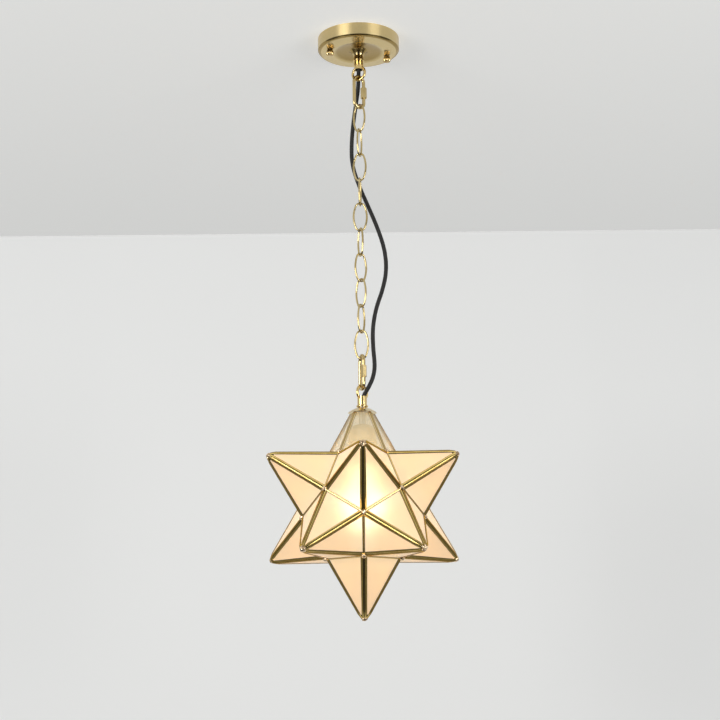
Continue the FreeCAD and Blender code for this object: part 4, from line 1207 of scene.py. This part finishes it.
@dataclass
class Star:
    """Twelve five-sided points of frosted glass in brass cames, with solder at the joints."""

    pane_base: float = 64.0 * MM
    apex: float = 161.0 * MM
    cad_apex: float = 163.0 * MM
    point_cut: float = 152.3 * MM
    cap_cut: float = 131.5 * MM
    cap_reach: float = 2.3 * MM
    cap_gap: float = 0.1 * MM
    came_thickness: float = 3.2 * MM
    door_azimuth: float = 144.0
    door_gap: float = 0.45 * MM
    seat_gap: float = 0.05 * MM
    pane_play: float = 0.1 * MM
    cap_setback: float = 0.3 * MM
    tip_setback: float = 4.5 * MM
    valley_bead: float = 1.0 * MM
    bead_lift: float = 1.15 * MM
    tip_solder: float = 4.1 * MM
    tip_lift: float = 0.2 * MM
    came_end_radius: float = 3.6 * MM
    came_end_solder: float = 1.7 * MM
    joint_solder: float = 3.6 * MM
    joint_lift: float = 1.012
    lump_sizes: tuple[float, float] = (0.88, 1.12)
    lump_noise: float = 380.0
    sharp_angle: float = 38.0
    valley_cells: float = 200.0
    corner_cells: float = 500.0
    seed: int = 5

    def __post_init__(self) -> None:
        """Work out the star's centre from the cap that sits on its top point."""
        self.face_distance = self.pane_base * math.sqrt((25.0 + 11.0 * math.sqrt(5.0)) / 40.0)
        capped = StarPoint(self.pane_base, self.cad_apex, self.face_distance, self.cap_cut, CameSection())
        outer_scale = 1.0 + self.came_thickness / 2.0 / capped.pane_distance
        cap_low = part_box("star_cap")[0]
        self.centre = Vector((0.0, 0.0, cap_low[2] - self.cap_cut * outer_scale - self.cap_gap))
        self.wobble = random.Random(self.seed)

    def point_matrices(self) -> dict[str, Matrix]:
        """Turn that carries the upright point to each place in the star.

        Returns:
            A turn for each point's name.
        """
        flip = Matrix.Rotation(math.pi, 3, around(STEP / 4.0, 1.0))
        tilt = math.atan(2.0)
        turns = {"top": Matrix.Identity(3), "bottom": flip}
        for k in range(SIDES):
            upper = STEP * k
            axis = around(upper, math.sin(tilt), math.cos(tilt)) + Vector((0.0, 0.0, 1.0))
            turn = Matrix.Rotation(math.pi, 3, axis)
            turns["door" if upper == self.door_azimuth else "upper_%03d" % upper] = turn
            lower = (STEP / 2.0 - upper) % 360.0
            turns["lower_%03d" % lower] = flip @ turn
        return turns

    def point(self, name: str) -> StarPoint:
        """Proportions of a point: the top one has slender cames and ends under the cap.

        Args:
            name: The point's name.

        Returns:
            The point, upright.
        """
        if name == "top":
            slender = CameSection(lip=2.5 * MM, inner_lip=2.3 * MM, back=1.2 * MM, valley_lip=2.4 * MM,
                                  taper=0.0)
            return StarPoint(self.pane_base, self.cad_apex, self.face_distance, self.cap_cut + self.cap_reach,
                             slender, tip_share=1.0)
        gap = self.door_gap if name == "door" else self.seat_gap
        return StarPoint(self.pane_base, self.apex, self.face_distance, self.point_cut, CameSection(), gap)

    def body(self, name: str) -> str:
        """Body that a point rides."""
        return "door" if name == "door" else "star"

    def loft(self, name: str, groups: list[list[Outline]], turn: Matrix) -> Mesh:
        """Closed skins over groups of rings.

        Args:
            name: The mesh's name.
            groups: Groups of closed rings, with as many points in each ring of a group.
            turn: Turn that carries the upright point to its place.

        Returns:
            The mesh.
        """
        shape = bmesh.new()
        # Each point's painted shade goes into a mesh attribute that the came finish reads.
        marks = shape.verts.layers.float.new("painted_shade")
        for rings in groups:
            rows = []
            for ring in rings:
                rows.append([shape.verts.new(turn @ point + self.centre) for point, _ in ring])
                for vertex, (_, painted_shade) in zip(rows[-1], ring):
                    vertex[marks] = painted_shade
            bmesh.ops.recalc_face_normals(shape, faces=skin(shape, rows))
        mesh = kept_mesh(name, shape)
        mesh.set_sharp_from_angle(angle=math.radians(self.sharp_angle))
        return mesh

    def build_points(self) -> None:
        """Build each point's cames and panes in place of its nodes."""
        # The last colour of each came finish is its painted shade.
        brass = Came("came_brass", (0.98, 0.74, 0.27), (0.86, 0.60, 0.18), (0.06, 0.030, 0.008)).material()
        fine = Came("fine_came_brass", (1.0, 0.82, 0.46), (0.94, 0.74, 0.38), (0.36, 0.24, 0.10)).material()
        # The frosted panes' glow and tone are painted light from the bulb.
        painted_glow_glass = PaintedGlowPane("frosted_glass", tuple(self.centre), (1.0, 0.90, 0.68), (1.0, 0.78, 0.52),
                      near_radius=66.0 * MM, far_radius=112.0 * MM, glow=0.33).material()
        # The clear glass's glow is painted light from the bulb.
        pale = PaleGlass("clear_glass", (0.64, 0.54, 0.34), haze=0.36, glow=0.20).material()
        for name, turn in self.point_matrices().items():
            point = self.point(name)
            groups = [point.ridge_rings(k, self.wobble) for k in range(SIDES)]
            groups += [point.valley_rings(k, self.wobble) for k in range(SIDES)]
            cames = mesh_object("point_%s_cames" % name, self.loft("cames", groups, turn),
                                fine if name == "top" else brass)
            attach(cames, self.body(name))
            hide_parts("point_%s_frame" % name)
            setback = self.cap_setback if name == "top" else self.tip_setback
            slabs = [point.pane_rings(k, point.section.back + self.pane_play, setback) for k in range(SIDES)]
            panes = mesh_object("point_%s_panes" % name, self.loft("panes", slabs, turn),
                                pale if name == "top" else painted_glow_glass)
            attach(panes, self.body(name))
            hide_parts("point_%s_glass" % name)
            log.info("point %s", name)

    def skeleton(self, name: str, places: list[Vector], joined: bool = False) -> Object:
        """Object of bare points, or of bare edges.

        Args:
            name: The object's name.
            places: The points, from the star's centre.
            joined: Whether each two points are joined by an edge.

        Returns:
            The object.
        """
        mesh = bpy.data.meshes.new(name)
        edges = [(k, k + 1) for k in range(0, len(places), 2)] if joined else []
        mesh.from_pydata([tuple(place + self.centre) for place in places], edges, [])
        return mesh_object(name, mesh)

    def bead_tree(self, material: Material) -> GeometryNodeTree:
        """Geometry Nodes that lay a round bead along every edge.

        Args:
            material: The bead's finish.

        Returns:
            The node tree, with its radius and its sides as inputs.
        """
        board, given = growth_tree("bead_along_edges", {"Bead Radius": "Float", "Bead Sides": "Int"})
        circle = board.add("CurvePrimitiveCircle", Radius=given["Bead Radius"], Resolution=given["Bead Sides"])
        board.grown(board.add("CurveToMesh", Curve=board.add("MeshToCurve", given["Geometry"]),
                              Profile_Curve=circle, Fill_Caps=True), material)
        return board.tree

    def solder_tree(self, material: Material) -> GeometryNodeTree:
        """Geometry Nodes that set a lump of solder on every point.

        Args:
            material: The solder's finish.

        Returns:
            The node tree, with the lump's radius, its unevenness and a seed as inputs.
        """
        board, given = growth_tree("solder_on_points",
                                   {"Lump Radius": "Float", "Unevenness": "Float", "Seed": "Int"})
        ball = board.add("MeshIcoSphere", Radius=given["Lump Radius"], Subdivisions=4)
        size = board.add("FunctionNodeRandomValue", None, None, *self.lump_sizes, Seed=given["Seed"],
                         data_type="FLOAT")
        lumps = board.add("InstanceOnPoints", Points=given["Geometry"], Instance=ball, Scale=size.outputs[1])
        noise = board.add("ShaderNodeTexNoise", Vector=board.add("InputPosition"), Scale=self.lump_noise)
        depth = board.math("MULTIPLY", board.math("SUBTRACT", noise, 0.5), given["Unevenness"])
        push = board.add("ShaderNodeVectorMath", board.add("InputNormal"), Scale=depth, operation="SCALE")
        board.grown(board.add("SetPosition", board.add("RealizeInstances", lumps), Offset=push), material)
        return board.tree

    def grow(self, piece: Object, tree: GeometryNodeTree, values: dict[str, object], body: str,
             slot: str) -> None:
        """Run a node tree on an object, keep the result as a plain mesh and let it ride a body.

        Args:
            piece: The object that the tree starts from.
            tree: The node tree.
            values: The tree's inputs by name.
            body: The body it rides.
            slot: Not used.
        """
        modifier = piece.modifiers.new("grow", "NODES")
        modifier.node_group = tree
        for item in tree.interface.items_tree:
            if item.item_type == "SOCKET" and item.in_out == "INPUT" and item.name in values:
                modifier[item.identifier] = values[item.name]
        bpy.context.view_layer.update()
        evaluated = piece.evaluated_get(bpy.context.evaluated_depsgraph_get())
        mesh = bpy.data.meshes.new_from_object(evaluated)
        piece.modifiers.remove(modifier)
        piece.data = mesh
        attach(piece, body)
        log.info("%s %d faces", piece.name, len(mesh.polygons))

    def shared_places(self, cells: float,
                      places: Callable[[StarPoint, Matrix, int], list[Vector]]) -> list[Vector]:
        """Places that neighbouring points share, each once and without those at the door.

        Args:
            cells: Cells in a metre, which tell one place from the next.
            places: Gives the places of a point, its turn and one of its sides.

        Returns:
            The places, from the star's centre.
        """
        found: dict[tuple[int, ...], list[Vector]] = {}
        at_door: set[tuple[int, ...]] = set()
        for name, turn in self.point_matrices().items():
            point = self.point(name)
            for k in range(SIDES):
                group = places(point, turn, k)
                key = tuple(round(value * cells) for value in sum(group, Vector((0.0, 0.0, 0.0))))
                found[key] = group
                if name == "door":
                    at_door.add(key)
        return [place for key, group in found.items() if key not in at_door for place in group]

    def valley_ends(self, point: StarPoint, turn: Matrix, k: int) -> list[Vector]:
        """Ends of the valley along one side of a point, lifted clear of the cames.

        Args:
            point: The point.
            turn: Its turn.
            k: Which side.

        Returns:
            The two ends.
        """
        lift = 1.0 + self.bead_lift / point.pane_distance
        return [turn @ point.corner(k - 1) * lift, turn @ point.corner(k) * lift]

    def build_beads(self) -> None:
        """Lay a narrow bead along every valley that doesn't open."""
        finish = Metal("seam_brass", (0.92, 0.74, 0.40), (0.76, 0.56, 0.26), 0.10, 0.24, Grain.CAST)
        tree = self.bead_tree(finish.material())
        piece = self.skeleton("valley_solder", self.shared_places(self.valley_cells, self.valley_ends), True)
        self.grow(piece, tree, {"Bead Radius": self.valley_bead, "Bead Sides": 12}, "star", "came_brass")

    def build_solder(self) -> None:
        """Set lumps of solder on the tips, on the cames' ends and on the joints of the cames."""
        tree = self.solder_tree(Solder("joint_solder", (0.88, 0.68, 0.44), (0.30, 0.19, 0.10)).material())
        tips: dict[str, list[Vector]] = {"star": [], "door": []}
        ends: dict[str, list[Vector]] = {"star": [], "door": []}
        for name, turn in self.point_matrices().items():
            if name != "top":
                tips[self.body(name)].append(turn @ Vector((0.0, 0.0, self.point_cut + self.tip_lift)))
                ends[self.body(name)] += [turn @ around(STEP * (k + 0.5), self.came_end_radius, self.point_cut)
                                          for k in range(SIDES)]
        joints = self.shared_places(self.corner_cells, lambda point, turn, k: [
            turn @ point.corner(k) * self.joint_lift])
        for body, places in tips.items():
            piece = self.skeleton("%s_tip_solder" % body, places)
            self.grow(piece, tree, {"Lump Radius": self.tip_solder, "Unevenness": 2.6 * MM, "Seed": 7}, body,
                      "came_brass")
            piece = self.skeleton("%s_came_ends" % body, ends[body])
            self.grow(piece, tree, {"Lump Radius": self.came_end_solder, "Unevenness": 1.0 * MM, "Seed": 11},
                      body, "came_brass")
        piece = self.skeleton("star_joint_solder", joints)
        self.grow(piece, tree, {"Lump Radius": self.joint_solder, "Unevenness": 2.4 * MM, "Seed": 3},
                  "star", "came_brass")

    def build(self) -> None:
        """Build the star's points, seams and solder, and dress its door's hardware."""
        dress(Metal("hinge_brass", (0.66, 0.48, 0.22), (0.48, 0.33, 0.14), 0.15, 0.32, Grain.CAST),
              "door_hinge", "door_hinge_leaf", "door_hinge_pin", "door_catch")
        self.build_points()
        self.build_beads()
        self.build_solder()


@dataclass
class Lampholder:
    """Lampholder with its screw shell, and the round bulb with its threaded cap."""

    base_radius: float = 13.2 * MM
    root_radius: float = 12.5 * MM
    thread_pitch: float = 3.6 * MM
    thread_start: float = 1.5 * MM
    turns: int = 5
    turn_rings: int = 10
    run_out: float = 4.0
    contact_profile: tuple[tuple[float, float], ...] = (
        (10.5 * MM, 3.6 * MM), (5.0 * MM, 3.0 * MM), (4.4 * MM, 0.4 * MM), (3.0 * MM, 0.0))
    sides: int = 64

    def thread(self, finish: Material) -> None:
        """Build the bulb's cap with a rolled thread.

        Args:
            finish: Its material.
        """
        low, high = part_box("bulb_base")
        shape = bmesh.new()
        start = low[2] + self.thread_start
        rows = self.turns * self.turn_rings
        rings = []
        heights = [low[2], *(start + self.thread_pitch * self.turns * k / rows for k in range(rows + 1))]
        for row, height in enumerate(heights):
            edge = min(1.0, row / self.run_out, (rows + 1 - row) / self.run_out)
            rise = (self.base_radius - self.root_radius) * edge
            phase = (height - start) / self.thread_pitch * 2.0 * math.pi
            rings.append(level_ring(shape, Vector((0.0, 0.0, height)), self.sides, lambda turn: (
                self.root_radius + rise * (0.5 + 0.5 * math.cos(phase - turn)))))
        for radius, depth in self.contact_profile:
            centre = Vector((0.0, 0.0, high[2] - depth))
            rings.append(level_ring(shape, centre, self.sides, lambda turn: radius))
        piece = mesh_object("bulb_threaded_cap", turned_mesh("bulb_threaded_cap", shape, rings), finish)
        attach(piece, "bulb")
        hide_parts("bulb_base")
        log.info("bulb_threaded_cap")

    def build(self) -> None:
        """Dress the lampholder and the bulb."""
        # The socket's faint emission is a painted glow of the bulb's light on it.
        dress(Moulded("socket_thermoset", (0.66, 0.54, 0.33), (0.58, 0.46, 0.27), 0.28, 0.04), "socket_body")
        dress(Metal("shell_brass", (0.80, 0.62, 0.30), (0.64, 0.47, 0.20), 0.12, 0.25, Grain.DRAWN),
              "socket_screw_shell")
        dress(Moulded("bulb_glass", (1.0, 0.92, 0.70), (1.0, 0.89, 0.64), 0.30, 12.0), "bulb_glass")
        self.thread(Metal("bulb_cap_aluminium", (0.80, 0.80, 0.79), (0.62, 0.62, 0.61), 0.18, 0.32,
                          Grain.DRAWN).material())


def main() -> None:
    """Build the camera, the cord, each sub-assembly and the room, and report them."""
    logging.basicConfig(level=logging.INFO, format="%(name)s: %(message)s")
    studio = Studio()
    studio.add_camera()
    PowerCord().build()
    for assembly in (CeilingSet(), Chain(), Star(), Lampholder()):
        log.info("building %s", type(assembly).__name__)
        assembly.build()
    studio.build()


if __name__ == "__main__":
    main()
